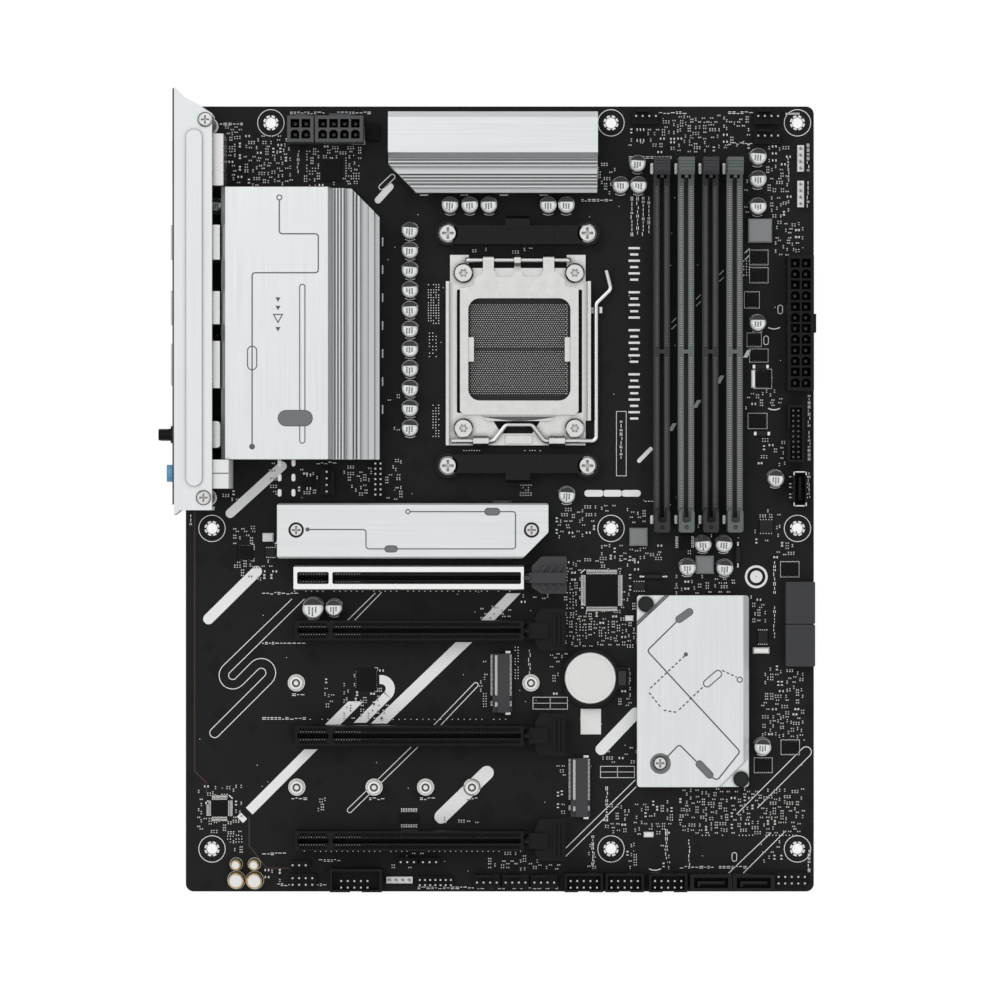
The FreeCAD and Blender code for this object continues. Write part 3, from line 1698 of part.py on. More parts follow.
def antenna_jacks():
    """Two threaded coaxial jacks that stand out of the panel."""
    jacks = []
    for height in ANTENNA_HEIGHTS:
        barrel = disc_across(ANTENNA_DOWN, height, 2.3, -9.2, 4.0)
        collar = disc_across(ANTENNA_DOWN, height, 3.9, PANEL_OUTSIDE - 1.5, PANEL_OUTSIDE)
        flats = [
            block(
                PANEL_OUTSIDE - 1.6,
                PANEL_OUTSIDE,
                ANTENNA_DOWN + flat,
                ANTENNA_DOWN + flat + 1.0,
                height - 5.0,
                height + 5.0,
            )
            for flat in (-4.3, 3.3)
        ]
        threads = [
            disc_across(ANTENNA_DOWN, height, 3.0, -9.0 + 0.9 * i, -8.6 + 0.9 * i).cut(
                disc_across(ANTENNA_DOWN, height, 2.1, -9.2 + 0.9 * i, -8.4 + 0.9 * i)
            )
            for i in range(4)
        ]
        cup = disc_across(ANTENNA_DOWN, height, 1.7, -10.0, -5.0)
        pin = disc_across(ANTENNA_DOWN, height, 0.5, -8.6, -4.8)
        body = barrel.cut(threads + [cup])
        jacks.append(joined([body, collar.cut(flats), pin]))
    return jacks


def audio_block():
    """Moulded tower of three round jacks."""
    body = port_body("audio")
    seam = block(-1.0, 19.0, AUDIO_DOWN - 0.2, AUDIO_DOWN + 0.2, 32.4, 34.0)
    bores = [
        disc_across(AUDIO_DOWN, height, 3.4, PANEL_INSIDE - THROUGH, 9.0)
        for height in AUDIO_HEIGHTS
    ]
    return body.cut(bores + [seam])


def audio_jacks():
    """Three coloured jack barrels that stand out of the panel."""
    rings = []
    for height in AUDIO_HEIGHTS:
        barrel = disc_across(AUDIO_DOWN, height, 3.3, -5.4, 8.8)
        hole = disc_across(AUDIO_DOWN, height, 1.8, -6.4, 7.8)
        rings.append(barrel.cut(hole))
    return rings


def flashback_switch():
    """Body of the rear push switch, bored for its plunger."""
    body = block(PANEL_INSIDE, 9.0, BUTTON_DOWN - 3.4, BUTTON_DOWN + 3.4, 0, 10.4)
    bore = disc_across(BUTTON_DOWN, BUTTON_HEIGHT, BUTTON_RADIUS + 0.08, PANEL_INSIDE - THROUGH, 3.4)
    guard = disc_across(BUTTON_DOWN, BUTTON_HEIGHT, 2.9, PANEL_INSIDE - THROUGH, PANEL_INSIDE + 0.6)
    return body.cut([bore, guard])


def flashback_button():
    """Dished plunger of the rear push switch."""
    plunger = disc_across(BUTTON_DOWN, BUTTON_HEIGHT, BUTTON_RADIUS, -4.1, 2.2)
    dish = Part.makeSphere(5.0, point(-4.1 - 4.75, BUTTON_DOWN, BUTTON_HEIGHT))
    return plunger.cut(dish)


def io_shield():
    """Rear panel sheet with an opening for every port."""
    panel = block(
        PANEL_OUTSIDE, PANEL_INSIDE, PANEL_TOP_EDGE, PANEL_BOTTOM_EDGE, PANEL_BOTTOM, PANEL_TOP
    )
    left = PANEL_OUTSIDE - THROUGH
    right = PANEL_INSIDE + THROUGH
    cuts = []
    # the windows are one gap larger than the sleeves
    margin = SLEEVE_SKIN + 0.15
    half = USB_WIDTH / 2 + margin
    usb_windows = [(name, low) for name in ("usb_upper", "usb_lower") for low in USB_HEIGHTS]
    usb_windows.append(("network", USB_HEIGHTS[0]))
    for name, low in usb_windows:
        middle = port_middle(name)
        cuts.append(
            block(
                left, right, middle - half, middle + half, low - margin, low + USB_OPENING + margin
            )
        )
    middle = port_middle("network")
    cuts.append(block(left, right, middle - 8.15, middle + 8.15, 14.85, 28.55))
    cuts.append(block(left, right, middle - 5.05, middle + 5.05, 9.15, 13.45))
    middle = port_middle("video")
    cuts.append(block(left, right, middle - 8.05, middle + 8.05, 3.35, 10.05))
    cuts.append(block(left, right, middle - 8.75, middle + 8.75, 14.35, 20.65))
    cuts += [disc_across(ANTENNA_DOWN, height, 2.5, left, right) for height in ANTENNA_HEIGHTS]
    cuts += [disc_across(AUDIO_DOWN, height, 3.6, left, right) for height in AUDIO_HEIGHTS]
    cuts.append(disc_across(BUTTON_DOWN, BUTTON_HEIGHT, BUTTON_RADIUS + 0.4, left, right))
    # vent slots above the empty stretches of the panel
    for start, count in ((35.2, 4), (62.6, 3), (111.6, 4)):
        for i in range(count):
            cuts.append(
                block(left, right, start + 2.6 * i, start + 2.6 * i + 1.3, 14.0, 28.0)
            )
    return panel.cut(cuts)


def io_cover():
    """White shroud over the rear ports: a top, a rear fold and two end walls."""
    outline = [
        (PANEL_INSIDE, -5.0),
        (-0.7, -3.4),
        (2.2, -0.4),
        (7.6, 2.4),
        (COVER_EDGE, 5.4),
        (COVER_EDGE, COVER_BOTTOM_EDGE),
        (0.0, COVER_BOTTOM_EDGE),
        (PANEL_INSIDE, 158.6),
    ]
    low = 17.0
    inner = [
        (PANEL_INSIDE + COVER_SKIN, -1.8),
        (1.6, 1.2),
        (7.0, 3.9),
        (COVER_EDGE + THROUGH, 7.4),
        (COVER_EDGE + THROUGH, COVER_BOTTOM_EDGE - COVER_SKIN),
        (PANEL_INSIDE + COVER_SKIN, COVER_BOTTOM_EDGE - COVER_SKIN),
    ]
    shell = slab(outline, low, COVER_HEIGHT)
    room = slab(inner, low - THROUGH, COVER_HEIGHT - COVER_SKIN)
    # the rear fold is open behind the ports
    ceiling = COVER_HEIGHT - COVER_SKIN
    rear_gap = block(PANEL_INSIDE - THROUGH, 3.0, 8.0, 151.2, low - THROUGH, ceiling)
    # a long raised pill runs down the top
    pill = slab(rectangle(2.4, 8.4, 11.6, 147.4), COVER_HEIGHT - 0.4, COVER_HEIGHT + 0.7, 2.9)
    # the screw ends are let into round seats
    seats = [disc(x, y, 2.9, COVER_HEIGHT - 0.8, COVER_HEIGHT + 2.0) for x, y in COVER_SCREWS]
    holes = [disc(x, y, 1.4, COVER_HEIGHT - 4.0, COVER_HEIGHT) for x, y in COVER_SCREWS]
    clear = [disc(x, y, 2.9, low - THROUGH, ceiling) for x, y in COVER_SCREWS]
    audio_room = block(-1.0, COVER_EDGE + THROUGH, 137.2, 148.8, low - THROUGH, ceiling)
    body = shell.cut([room, rear_gap, audio_room] + clear)
    return joined([body, pill]).cut(seats + holes)


def io_cover_screws():
    """Two screws through the cover into its posts."""
    seat = COVER_HEIGHT - 0.8
    tip = COVER_STANDOFF_HEIGHT - 6.0
    return [headed_screw(x, y, 2.6, seat, seat + 1.6, 1.0, tip) for x, y in COVER_SCREWS]


# ================================================================ power connectors
POWER_PITCH = 4.2
POWER_CAVITY = 3.4
POWER_HEIGHT = 12.9
POWER_BLOCKS = [
    # left, top, columns, rows
    (39.9, 4.5, 2, 2),
    (50.6, 4.5, 4, 2),
]
MAIN_POWER_LEFT = 232.9
MAIN_POWER_TOP = 58.4
MAIN_POWER_ROWS = 12
POWER_WALL = 0.9


def power_cells(left, top, columns, rows):
    """Middles of the cells of a power connector."""
    first_across = left + POWER_WALL + POWER_PITCH / 2
    first_down = top + POWER_WALL + POWER_PITCH / 2
    return [
        (first_across + i * POWER_PITCH, first_down + j * POWER_PITCH)
        for i in range(columns)
        for j in range(rows)
    ]


def power_header(left, top, columns, rows, catch):
    """A shrouded power connector; catch is the catch's outline for a plug's clip."""
    right = left + 2 * POWER_WALL + columns * POWER_PITCH
    bottom = top + 2 * POWER_WALL + rows * POWER_PITCH
    body = block(left, right, top, bottom, 0, POWER_HEIGHT)
    half = POWER_CAVITY / 2
    cells = []
    for i, (across, down) in enumerate(power_cells(left, top, columns, rows)):
        # alternate cells have two cut corners, so a plug fits one way only
        corner = 0.9 if i % 2 else 0.0
        outline = [
            (across - half, down - half + corner),
            (across - half + corner, down - half),
            (across + half - corner, down - half),
            (across + half, down - half + corner),
            (across + half, down + half),
            (across - half, down + half),
        ]
        if not corner:
            outline = rectangle(across - half, across + half, down - half, down + half)
        cells.append(slab(outline, 1.6, POWER_HEIGHT + THROUGH))
    tab = slab(catch, 5.0, 10.5)
    return joined([body.cut(cells), tab])


def cpu_power_connectors():
    """Two processor power connectors side by side."""
    solids = []
    for left, top, columns, rows in POWER_BLOCKS:
        middle = left + POWER_WALL + columns * POWER_PITCH / 2
        half = 1.0 * columns
        catch = rectangle(middle - half, middle + half, top - 1.0, top + 0.2)
        solids.append(power_header(left, top, columns, rows, catch))
    return solids


def atx_power_connector():
    """The long main power connector at the board's front edge."""
    right = MAIN_POWER_LEFT + 2 * POWER_WALL + 2 * POWER_PITCH
    middle = MAIN_POWER_TOP + POWER_WALL + MAIN_POWER_ROWS * POWER_PITCH / 2
    catch = rectangle(right - 0.2, right + 1.0, middle - 3.6, middle + 3.6)
    return power_header(MAIN_POWER_LEFT, MAIN_POWER_TOP, 2, MAIN_POWER_ROWS, catch)


# ================================================================ small headers
FINE_PITCH = 2.0
PIN_PITCH = 2.54
PIN_HALF = 0.32
HEADER_HEIGHT = 2.5
PIN_TOP = 8.4

# middle of each four-pin fan header, and the direction its pins run in
FAN_HEADERS = [
    (178.4, 4.4, "across"),
    (225.6, 4.4, "across"),
    (225.6, 12.0, "across"),
    (55.0, 145.7, "down"),
    (116.9, 300.6, "across"),
    (128.0, 300.6, "across"),
    (139.1, 300.6, "across"),
]
LIGHT_HEADERS = [
    (238.6, 20.3, "down"),
    (238.6, 34.1, "down"),
    (83.0, 300.2, "across"),
]
# first pin, columns, rows, pitch of each open pin header
OPEN_HEADERS = [
    (73.8, 138.7, 2, 7, FINE_PITCH),
    (41.8, 299.0, 4, 2, PIN_PITCH),
    (41.8, 294.0, 3, 1, PIN_PITCH),
    (83.6, 292.8, 3, 1, PIN_PITCH),
    (92.2, 292.8, 3, 1, PIN_PITCH),
    (91.0, 299.7, 7, 2, FINE_PITCH),
    (229.7, 298.5, 5, 2, PIN_PITCH),
]
# first pin of each two-row shrouded header, and the left, right and top of its box
BOXED_HEADERS = [
    (60.6, 300.1, 56.2, 76.3, 295.5),
    (149.3, 300.1, 147.0, 161.8, 297.2),
    (165.1, 300.1, 162.8, 177.6, 297.2),
    (181.9, 300.1, 179.6, 194.4, 297.2),
]
BOXED_COLUMNS = 5
FAN_HEADER_LENGTH = 10.2
FAN_HEADER_WIDTH = 5.4
FAN_PIN_TOP = 9.6
LIGHT_HEADER_LENGTH = 10.16
LIGHT_HEADER_WIDTH = 2.54
USB3_PIN_TOP = 7.6


def header_pins(first_across, first_down, columns, rows, pitch, high=PIN_TOP):
    """A field of square pins that also stand out of the underside."""
    return [
        block(
            first_across + i * pitch - PIN_HALF,
            first_across + i * pitch + PIN_HALF,
            first_down + j * pitch - PIN_HALF,
            first_down + j * pitch + PIN_HALF,
            0.0,
            high,
        )
        for i in range(columns)
        for j in range(rows)
    ]


def with_pin_holes(body, pins):
    """Cut the room for a set of pins out of a moulded base."""
    return body.cut(pins)


def fan_pins(across, down, direction, pins=4):
    """The pins of one fan header."""
    reach = (pins - 1) * PIN_PITCH / 2
    if direction == "across":
        return header_pins(across - reach, down, pins, 1, PIN_PITCH, FAN_PIN_TOP)
    return header_pins(across, down - reach, 1, pins, PIN_PITCH, FAN_PIN_TOP)


def header_base(across, down, direction, length, width, high):
    """A plain moulded base centred on a header."""
    if direction == "down":
        length, width = width, length
    return block(
        across - length / 2, across + length / 2, down - width / 2, down + width / 2, 0, high
    )


def fan_header(across, down, direction):
    """A four-pin base with a polarising wall behind the pins."""
    base = header_base(across, down, direction, FAN_HEADER_LENGTH, FAN_HEADER_WIDTH, 2.8)
    half = FAN_HEADER_WIDTH / 2
    if direction == "across":
        wall = block(across - 3.9, across + 1.2, down - half, down - half + 0.9, 0, 7.0)
    else:
        wall = block(across + half - 0.9, across + half, down - 3.9, down + 1.2, 0, 7.0)
    return with_pin_holes(joined([base, wall]), fan_pins(across, down, direction))


def fan_headers():
    """Fan headers with their polarising walls."""
    return [fan_header(*header) for header in FAN_HEADERS]


def light_headers():
    """Pale single-row headers for light strips."""
    solids = []
    for header in LIGHT_HEADERS:
        base = header_base(*header, LIGHT_HEADER_LENGTH, LIGHT_HEADER_WIDTH, HEADER_HEIGHT)
        solids.append(with_pin_holes(base, fan_pins(*header)))
    return solids


def open_header(first_across, first_down, columns, rows, pitch):
    """The moulded base of an open pin header."""
    margin = pitch / 2
    base = block(
        first_across - margin,
        first_across + (columns - 1) * pitch + margin,
        first_down - margin,
        first_down + (rows - 1) * pitch + margin,
        0,
        HEADER_HEIGHT,
    )
    return with_pin_holes(base, header_pins(first_across, first_down, columns, rows, pitch))


def boxed_header(first_across, first_down, left, right, top):
    """A shrouded two-row header with a keying gap in its lower wall."""
    bottom = first_down + PIN_PITCH + 1.8
    outer = block(left, right, top, bottom, 0, 8.8)
    room = block(left + 0.9, right - 0.9, top + 0.9, bottom - 0.9, HEADER_HEIGHT, 10.0)
    middle = (left + right) / 2
    gap_floor = HEADER_HEIGHT + 1.0
    gap = block(middle - 2.2, middle + 2.2, bottom - 1.6, bottom + THROUGH, gap_floor, 10.0)
    pins = header_pins(first_across, first_down, BOXED_COLUMNS, 2, PIN_PITCH)
    return with_pin_holes(outer.cut([room, gap]), pins)


def pin_headers():
    """All the black header bases, open and shrouded."""
    solids = [open_header(*header) for header in OPEN_HEADERS]
    solids += [boxed_header(*header) for header in BOXED_HEADERS]
    return solids


USB3_LEFT = 233.2
USB3_RIGHT = 239.6
USB3_TOP = 116.0
USB3_BOTTOM = 138.2
USB3_PINS = (235.4, 237.4)
USB3_FIRST = 118.2
USB3_ROWS = 10


def front_usb_headers():
    """The shrouded front-panel header and the small upright metal one below it."""
    tall = 9.0
    outer = slab(rectangle(USB3_LEFT, USB3_RIGHT, USB3_TOP, USB3_BOTTOM), 0, tall, 0.5)
    room = block(
        USB3_LEFT + 0.9, USB3_RIGHT - 0.9, USB3_TOP + 1.0, USB3_BOTTOM - 1.0, 2.2, tall + 1.0
    )
    key = block(USB3_LEFT - 1.0, USB3_LEFT + 1.2, 125.0, 129.2, 3.0, tall + 1.0)
    pins = []
    for across in USB3_PINS:
        pins += header_pins(across, USB3_FIRST, 1, USB3_ROWS, FINE_PITCH, USB3_PIN_TOP)
    shrouded = outer.cut([room, key] + pins)
    shell = slab(rectangle(235.2, 240.6, 141.6, 155.4), 0, 10.4, 1.2)
    mouth = slab(rectangle(235.9, 239.9, 142.6, 154.4), 2.4, 12.0, 1.0)
    blade = block(237.4, 238.4, 144.0, 153.0, 2.0, 8.4)
    upright = joined([shell.cut(mouth), blade])
    return [shrouded, upright]


SATA_SIDE_DOWNS = (192.6, 209.1)
SATA_BOTTOM_ACROSSES = (203.6, 220.1)
SATA_HALF = 8.1


def sata_ports():
    """Two lying drive ports at the front edge and two upright ones at the bottom."""
    solids = []
    for down in SATA_SIDE_DOWNS:
        body = slab(
            rectangle(232.6, 243.9, down - SATA_HALF, down + SATA_HALF), 0, 7.6, 0.4
        )
        room = block(236.4, 245.0, down - 6.6, down + 6.6, 1.4, 6.0)
        blade = block(236.0, 243.2, down - 5.2, down + 5.2, 3.0, 4.2)
        hook = block(236.0, 243.2, down + 4.2, down + 5.2, 3.0, 5.4)
        solids.append(joined([body.cut(room), blade, hook]))
    for across in SATA_BOTTOM_ACROSSES:
        body = slab(
            rectangle(across - SATA_HALF, across + SATA_HALF, 297.6, 303.8), 0, 8.4, 0.4
        )
        room = block(across - 6.6, across + 6.6, 298.8, 302.8, 2.4, 9.4)
        blade = block(across - 5.2, across + 5.2, 300.2, 301.4, 2.0, 7.8)
        hook = block(across - 5.2, across - 4.2, 300.2, 302.4, 2.0, 7.8)
        solids.append(joined([body.cut(room), blade, hook]))
    return solids


def connector_pins():
    """Metal pins of the power connectors and of every small header."""
    pins = []
    half = 0.55
    cells = power_cells(MAIN_POWER_LEFT, MAIN_POWER_TOP, 2, MAIN_POWER_ROWS)
    for left, top, columns, rows in POWER_BLOCKS:
        cells += power_cells(left, top, columns, rows)
    for across, down in cells:
        pins.append(block(across - half, across + half, down - half, down + half, 1.6, 9.0))
    for header in OPEN_HEADERS:
        pins += header_pins(*header)
    for header in BOXED_HEADERS:
        pins += header_pins(header[0], header[1], BOXED_COLUMNS, 2, PIN_PITCH)
    for header in FAN_HEADERS + LIGHT_HEADERS:
        pins += fan_pins(*header)
    for across in USB3_PINS:
        pins += header_pins(across, USB3_FIRST, 1, USB3_ROWS, FINE_PITCH, USB3_PIN_TOP)
    return pins


# ================================================================ small parts
CAN_RADIUS = 3.15
CAN_HEIGHT = 8.0
CAN_COLUMN_ACROSS = 87.1
CAN_COLUMN_FIRST = 48.4
CAN_COLUMN_PITCH = 7.65
CAN_COLUMN_COUNT = 11
SCATTERED_CANS = [
    (102.6, 38.5),
    (110.3, 38.5),
    (117.7, 38.5),
    (140.7, 38.5),
    (147.7, 38.5),
    (175.3, 22.5),
    (168.7, 30.8),
    (175.7, 30.8),
    (221.9, 19.8),
    (221.9, 28.5),
    (221.9, 39.0),
    (221.9, 84.2),
    (228.8, 144.5),
    (200.6, 169.9),
    (208.7, 169.9),
    (194.6, 178.9),
    (209.0, 179.1),
    (147.9, 150.9),
    (57.7, 194.6),
    (223.7, 248.4),
]
LARGE_CAN = (49.6, 194.8)
REAR_CAN = (12.2, 38.6)
AUDIO_CANS = [(19.6, 294.2, 2.0), (26.6, 294.2, 2.0), (19.7, 300.3, 3.0), (26.8, 300.4, 3.0)]


def can(across, down, radius, high):
    """A metal can capacitor, rolled in near its foot and round at its shoulder."""
    return turned(
        across,
        down,
        [
            (0, 0),
            (radius, 0),
            (radius, 0.9),
            (radius - 0.35, 1.3),
            (radius - 0.35, 1.7),
            (radius, 2.1),
            (radius, high - 0.45),
            (radius - 0.4, high - 0.1),
            (radius - 0.55, high),
            (radius - 0.75, high - 0.15),
            (0, high - 0.15),
        ],
    )


def capacitors():
    """Metal can capacitors: a long column beside the socket and scattered ones."""
    solids = [
        can(CAN_COLUMN_ACROSS, CAN_COLUMN_FIRST + i * CAN_COLUMN_PITCH, CAN_RADIUS, CAN_HEIGHT)
        for i in range(CAN_COLUMN_COUNT)
    ]
    solids += [can(x, y, CAN_RADIUS, CAN_HEIGHT) for x, y in SCATTERED_CANS]
    solids.append(can(LARGE_CAN[0], LARGE_CAN[1], 4.0, CAN_HEIGHT))
    solids.append(can(REAR_CAN[0], REAR_CAN[1], 2.6, CAN_HEIGHT))
    return solids


def audio_capacitors():
    """Small gilt capacitors of the sound section."""
    return [can(x, y, radius, 6.0) for x, y, radius in AUDIO_CANS]


# left, right, top, bottom and height of each moulded chip
CHIPS = [
    (155.2, 167.8, 181.6, 194.2, 1.4),
    (9.8, 16.4, 269.2, 275.7, 1.2),
    (83.2, 90.2, 273.9, 278.6, 1.2),
    (45.8, 49.7, 143.7, 147.8, 1.5),
    (66.2, 74.0, 218.4, 226.6, 0.9),
    (20.0, 26.0, 170.5, 176.0, 0.9),
    (52.6, 60.4, 21.2, 29.0, 0.9),
    (174.0, 179.0, 9.6, 12.6, 1.5),
    (221.0, 227.0, 102.5, 109.0, 1.1),
    (219.4, 225.6, 56.2, 61.0, 1.0),
    (219.4, 225.6, 63.0, 68.0, 1.0),
    (217.4, 222.2, 72.4, 77.8, 1.0),
    (218.4, 223.0, 88.4, 92.8, 1.6),
    (219.4, 225.6, 94.6, 98.8, 1.0),
    (218.8, 225.2, 119.6, 124.6, 1.0),
    (231.4, 237.6, 177.2, 182.2, 1.0),
    (231.6, 237.8, 246.4, 251.2, 1.0),
    (221.2, 227.2, 253.4, 258.2, 1.0),
    (191.2, 196.2, 166.4, 171.8, 1.4),
    (69.6, 75.2, 7.2, 13.2, 2.2),
]


def ic_packages():
    """Moulded chips: controllers in the open, power stages and the chipset."""
    solids = [
        slab(rectangle(left, right, top, bottom), 0, high, 0.25)
        for left, right, top, bottom, high in CHIPS
    ]
    solids += [block(57.0, 62.0, down - 3.0, down + 3.0, 0, 1.0) for down in left_phase_downs()]
    solids += [
        block(across - 3.0, across + 3.0, 19.6, 24.6, 0, 1.0) for across in top_phase_acrosses()
    ]
    solids.append(slab(rectangle(186.0, 208.0, 215.0, 237.0), 0, 1.6, 0.4))
    return solids


# ================================================================ clock battery
BATTERY_ACROSS = 157.0
BATTERY_DOWN = 221.8
BATTERY_RADIUS = 10.0
BATTERY_LOW = 1.5
BATTERY_HIGH = 4.7


def battery_holder():
    """Round plastic tray for the clock battery, with a finger gap on one side."""
    rim = disc(BATTERY_ACROSS, BATTERY_DOWN, BATTERY_RADIUS + 1.3, 0, 4.2)
    foot = block(
        BATTERY_ACROSS + 7.0,
        BATTERY_ACROSS + 15.0,
        BATTERY_DOWN - 4.2,
        BATTERY_DOWN + 4.2,
        0,
        4.2,
    )
    seat = disc(BATTERY_ACROSS, BATTERY_DOWN, BATTERY_RADIUS + 0.1, BATTERY_LOW - 0.2, 6.0)
    finger = block(
        BATTERY_ACROSS - 14.0,
        BATTERY_ACROSS - 6.0,
        BATTERY_DOWN - 4.0,
        BATTERY_DOWN + 4.0,
        BATTERY_LOW - 0.2,
        6.0,
    )
    clip_room = block(
        BATTERY_ACROSS + 10.6,
        BATTERY_ACROSS + 14.0,
        BATTERY_DOWN - 3.0,
        BATTERY_DOWN + 3.0,
        1.0,
        6.0,
    )
    return joined([rim, foot]).cut([seat, finger, clip_room])


def battery_clip():
    """Sheet contact that stands beside the battery's edge."""
    return bar_down(
        [
            (BATTERY_ACROSS + 10.8, 1.0),
            (BATTERY_ACROSS + 13.8, 1.0),
            (BATTERY_ACROSS + 13.8, 5.2),
            (BATTERY_ACROSS + 10.8, 5.2),
            (BATTERY_ACROSS + 10.8, 4.7),
            (BATTERY_ACROSS + 13.3, 4.7),
            (BATTERY_ACROSS + 13.3, 1.5),
            (BATTERY_ACROSS + 10.8, 1.5),
        ],
        BATTERY_DOWN - 2.8,
        BATTERY_DOWN + 2.8,
    )


def battery():
    """Coin cell with a stepped smaller face below."""
    return turned(
        BATTERY_ACROSS,
        BATTERY_DOWN,
        [
            (0, BATTERY_LOW),
            (8.7, BATTERY_LOW),
            (8.7, BATTERY_LOW + 0.5),
            (9.7, BATTERY_LOW + 0.6),
            (BATTERY_RADIUS, BATTERY_LOW + 0.9),
            (BATTERY_RADIUS, BATTERY_HIGH - 0.3),
            (BATTERY_RADIUS - 0.3, BATTERY_HIGH),
            (0, BATTERY_HIGH),
        ],
    )


# ================================================================ write the nodes
def build():
    """Make every piece and write it to its own file."""
    os.makedirs("parts", exist_ok=True)
    save("pcb", [pcb()])
    save("socket_backplate", [socket_backplate()])
    save("socket_housing", [socket_housing()])
    save("socket_contacts", socket_contacts())
    save("socket_frame", [socket_frame()])
    save("socket_hinge_wire", [socket_hinge_wire()])
    save("socket_screws", socket_screws())
    save("load_plate", [load_plate()])
    save("load_lever", [load_lever()])
    save("cooler_brackets", [cooler_bracket(-1), cooler_bracket(1)])
    save("cooler_bracket_screws", cooler_bracket_screws())
    save("memory_slots_dark", [memory_slot(0), memory_slot(2)])
    save("memory_slots_grey", [memory_slot(1), memory_slot(3)])
    for number in range(MEMORY_COUNT):
        save("memory_latch_" + str(number + 1), [memory_latch(number)])
    save("card_slots", [card_slot(step) for step in CARD_SLOT_STEPS])
    save("card_slot_shield", [card_slot_shield()])
    for number, step in enumerate(CARD_SLOT_STEPS):
        save("card_latch_" + str(number + 1), [card_latch(step)])
    save("drive_sockets", drive_sockets())
    save("standoffs", standoffs())
    save("drive_heatsink", [drive_heatsink()])
    save("drive_heatsink_screws", drive_heatsink_screws())
    save("drive_thermal_pad", [drive_thermal_pad()])
    save("vrm_heatsink_left", [vrm_heatsink_left()])
    save("vrm_heatsink_top", [vrm_heatsink_top()])
    save("inductors", inductors())
    save("thermal_pads", thermal_pads())
    save("heatsink_screws", heatsink_screws())
    save("chipset_heatsink", [chipset_heatsink()])
    save("chipset_bumpers", chipset_bumpers())
    save("usb_stacks", usb_stacks())
    save("video_ports", [video_ports()])
    save("wireless_module", [wireless_module()])
    save("antenna_jacks", antenna_jacks())
    save("audio_block", [audio_block()])
    save("audio_jacks", audio_jacks())
    save("flashback_switch", [flashback_switch()])
    save("flashback_button", [flashback_button()])
    save("io_shield", [io_shield()])
    save("io_cover", [io_cover()])
    save("io_cover_screws", io_cover_screws())
    save("cpu_power_connectors", cpu_power_connectors())
    save("atx_power_connector", [atx_power_connector()])
    save("fan_headers", fan_headers())
    save("light_headers", light_headers())
    save("pin_headers", pin_headers())
    save("front_usb_headers", front_usb_headers())
    save("sata_ports", sata_ports())
    save("connector_pins", connector_pins())
    save("capacitors", capacitors())
    save("audio_capacitors", audio_capacitors())
    save("ic_packages", ic_packages())
    save("battery_holder", [battery_holder()])
    save("battery_clip", [battery_clip()])
    save("battery", [battery()])


build()
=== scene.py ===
import math
import random
from typing import NamedTuple

import bmesh
import bpy
import numpy as np
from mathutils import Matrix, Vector


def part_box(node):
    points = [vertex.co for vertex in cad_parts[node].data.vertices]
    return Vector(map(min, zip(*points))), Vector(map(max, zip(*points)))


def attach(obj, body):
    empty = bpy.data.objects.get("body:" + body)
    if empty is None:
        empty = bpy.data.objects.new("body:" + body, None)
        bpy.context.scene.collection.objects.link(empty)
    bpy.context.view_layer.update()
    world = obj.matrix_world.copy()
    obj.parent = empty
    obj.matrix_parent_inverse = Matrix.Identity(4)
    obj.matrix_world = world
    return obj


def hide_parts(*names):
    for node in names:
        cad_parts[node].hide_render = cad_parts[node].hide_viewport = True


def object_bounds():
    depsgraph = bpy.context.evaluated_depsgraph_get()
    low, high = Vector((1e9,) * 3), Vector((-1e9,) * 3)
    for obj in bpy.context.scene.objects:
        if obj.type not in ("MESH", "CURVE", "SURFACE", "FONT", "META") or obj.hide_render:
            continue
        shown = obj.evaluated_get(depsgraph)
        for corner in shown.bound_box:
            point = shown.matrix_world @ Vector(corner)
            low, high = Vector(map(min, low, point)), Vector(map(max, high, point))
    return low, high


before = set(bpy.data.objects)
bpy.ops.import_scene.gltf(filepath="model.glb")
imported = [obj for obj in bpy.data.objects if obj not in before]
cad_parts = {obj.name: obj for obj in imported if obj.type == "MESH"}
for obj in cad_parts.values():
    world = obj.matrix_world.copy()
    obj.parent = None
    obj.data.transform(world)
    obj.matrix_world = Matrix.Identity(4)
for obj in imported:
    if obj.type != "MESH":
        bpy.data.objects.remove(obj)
CAD_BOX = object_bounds()

# Places are given as on the board: millimetres across from its rear edge, down from
# its top edge, and up from its component face.
MM = 0.001
BOARD_LOW, BOARD_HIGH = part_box("pcb")
REAR_EDGE = BOARD_LOW.x
TOP_EDGE = BOARD_HIGH.y
FACE = BOARD_HIGH.z
WIDTH = (BOARD_HIGH.x - BOARD_LOW.x) / MM
LENGTH = (BOARD_HIGH.y - BOARD_LOW.y) / MM
UNDER = (BOARD_LOW.z - BOARD_HIGH.z) / MM

# Printed layers reach a little into the face that they lie on. UNDER is the height of
# the board's other face.
INK_LOW = -0.02
INK_HIGH = 0.03


def at(across, down, height):
    """A point of the frame, in metres."""
    return Vector((REAR_EDGE + across * MM, TOP_EDGE - down * MM, FACE + height * MM))


def board_place(point):
    """Across, down and height of a point of the frame."""
    return (point[0] - REAR_EDGE) / MM, (TOP_EDGE - point[1]) / MM, (point[2] - FACE) / MM


class Box(NamedTuple):
    """The box of one solid, as on the board."""

    left: float
    right: float
    top: float
    bottom: float
    low: float
    high: float

    def middle(self):
        return (self.left + self.right) / 2, (self.top + self.bottom) / 2


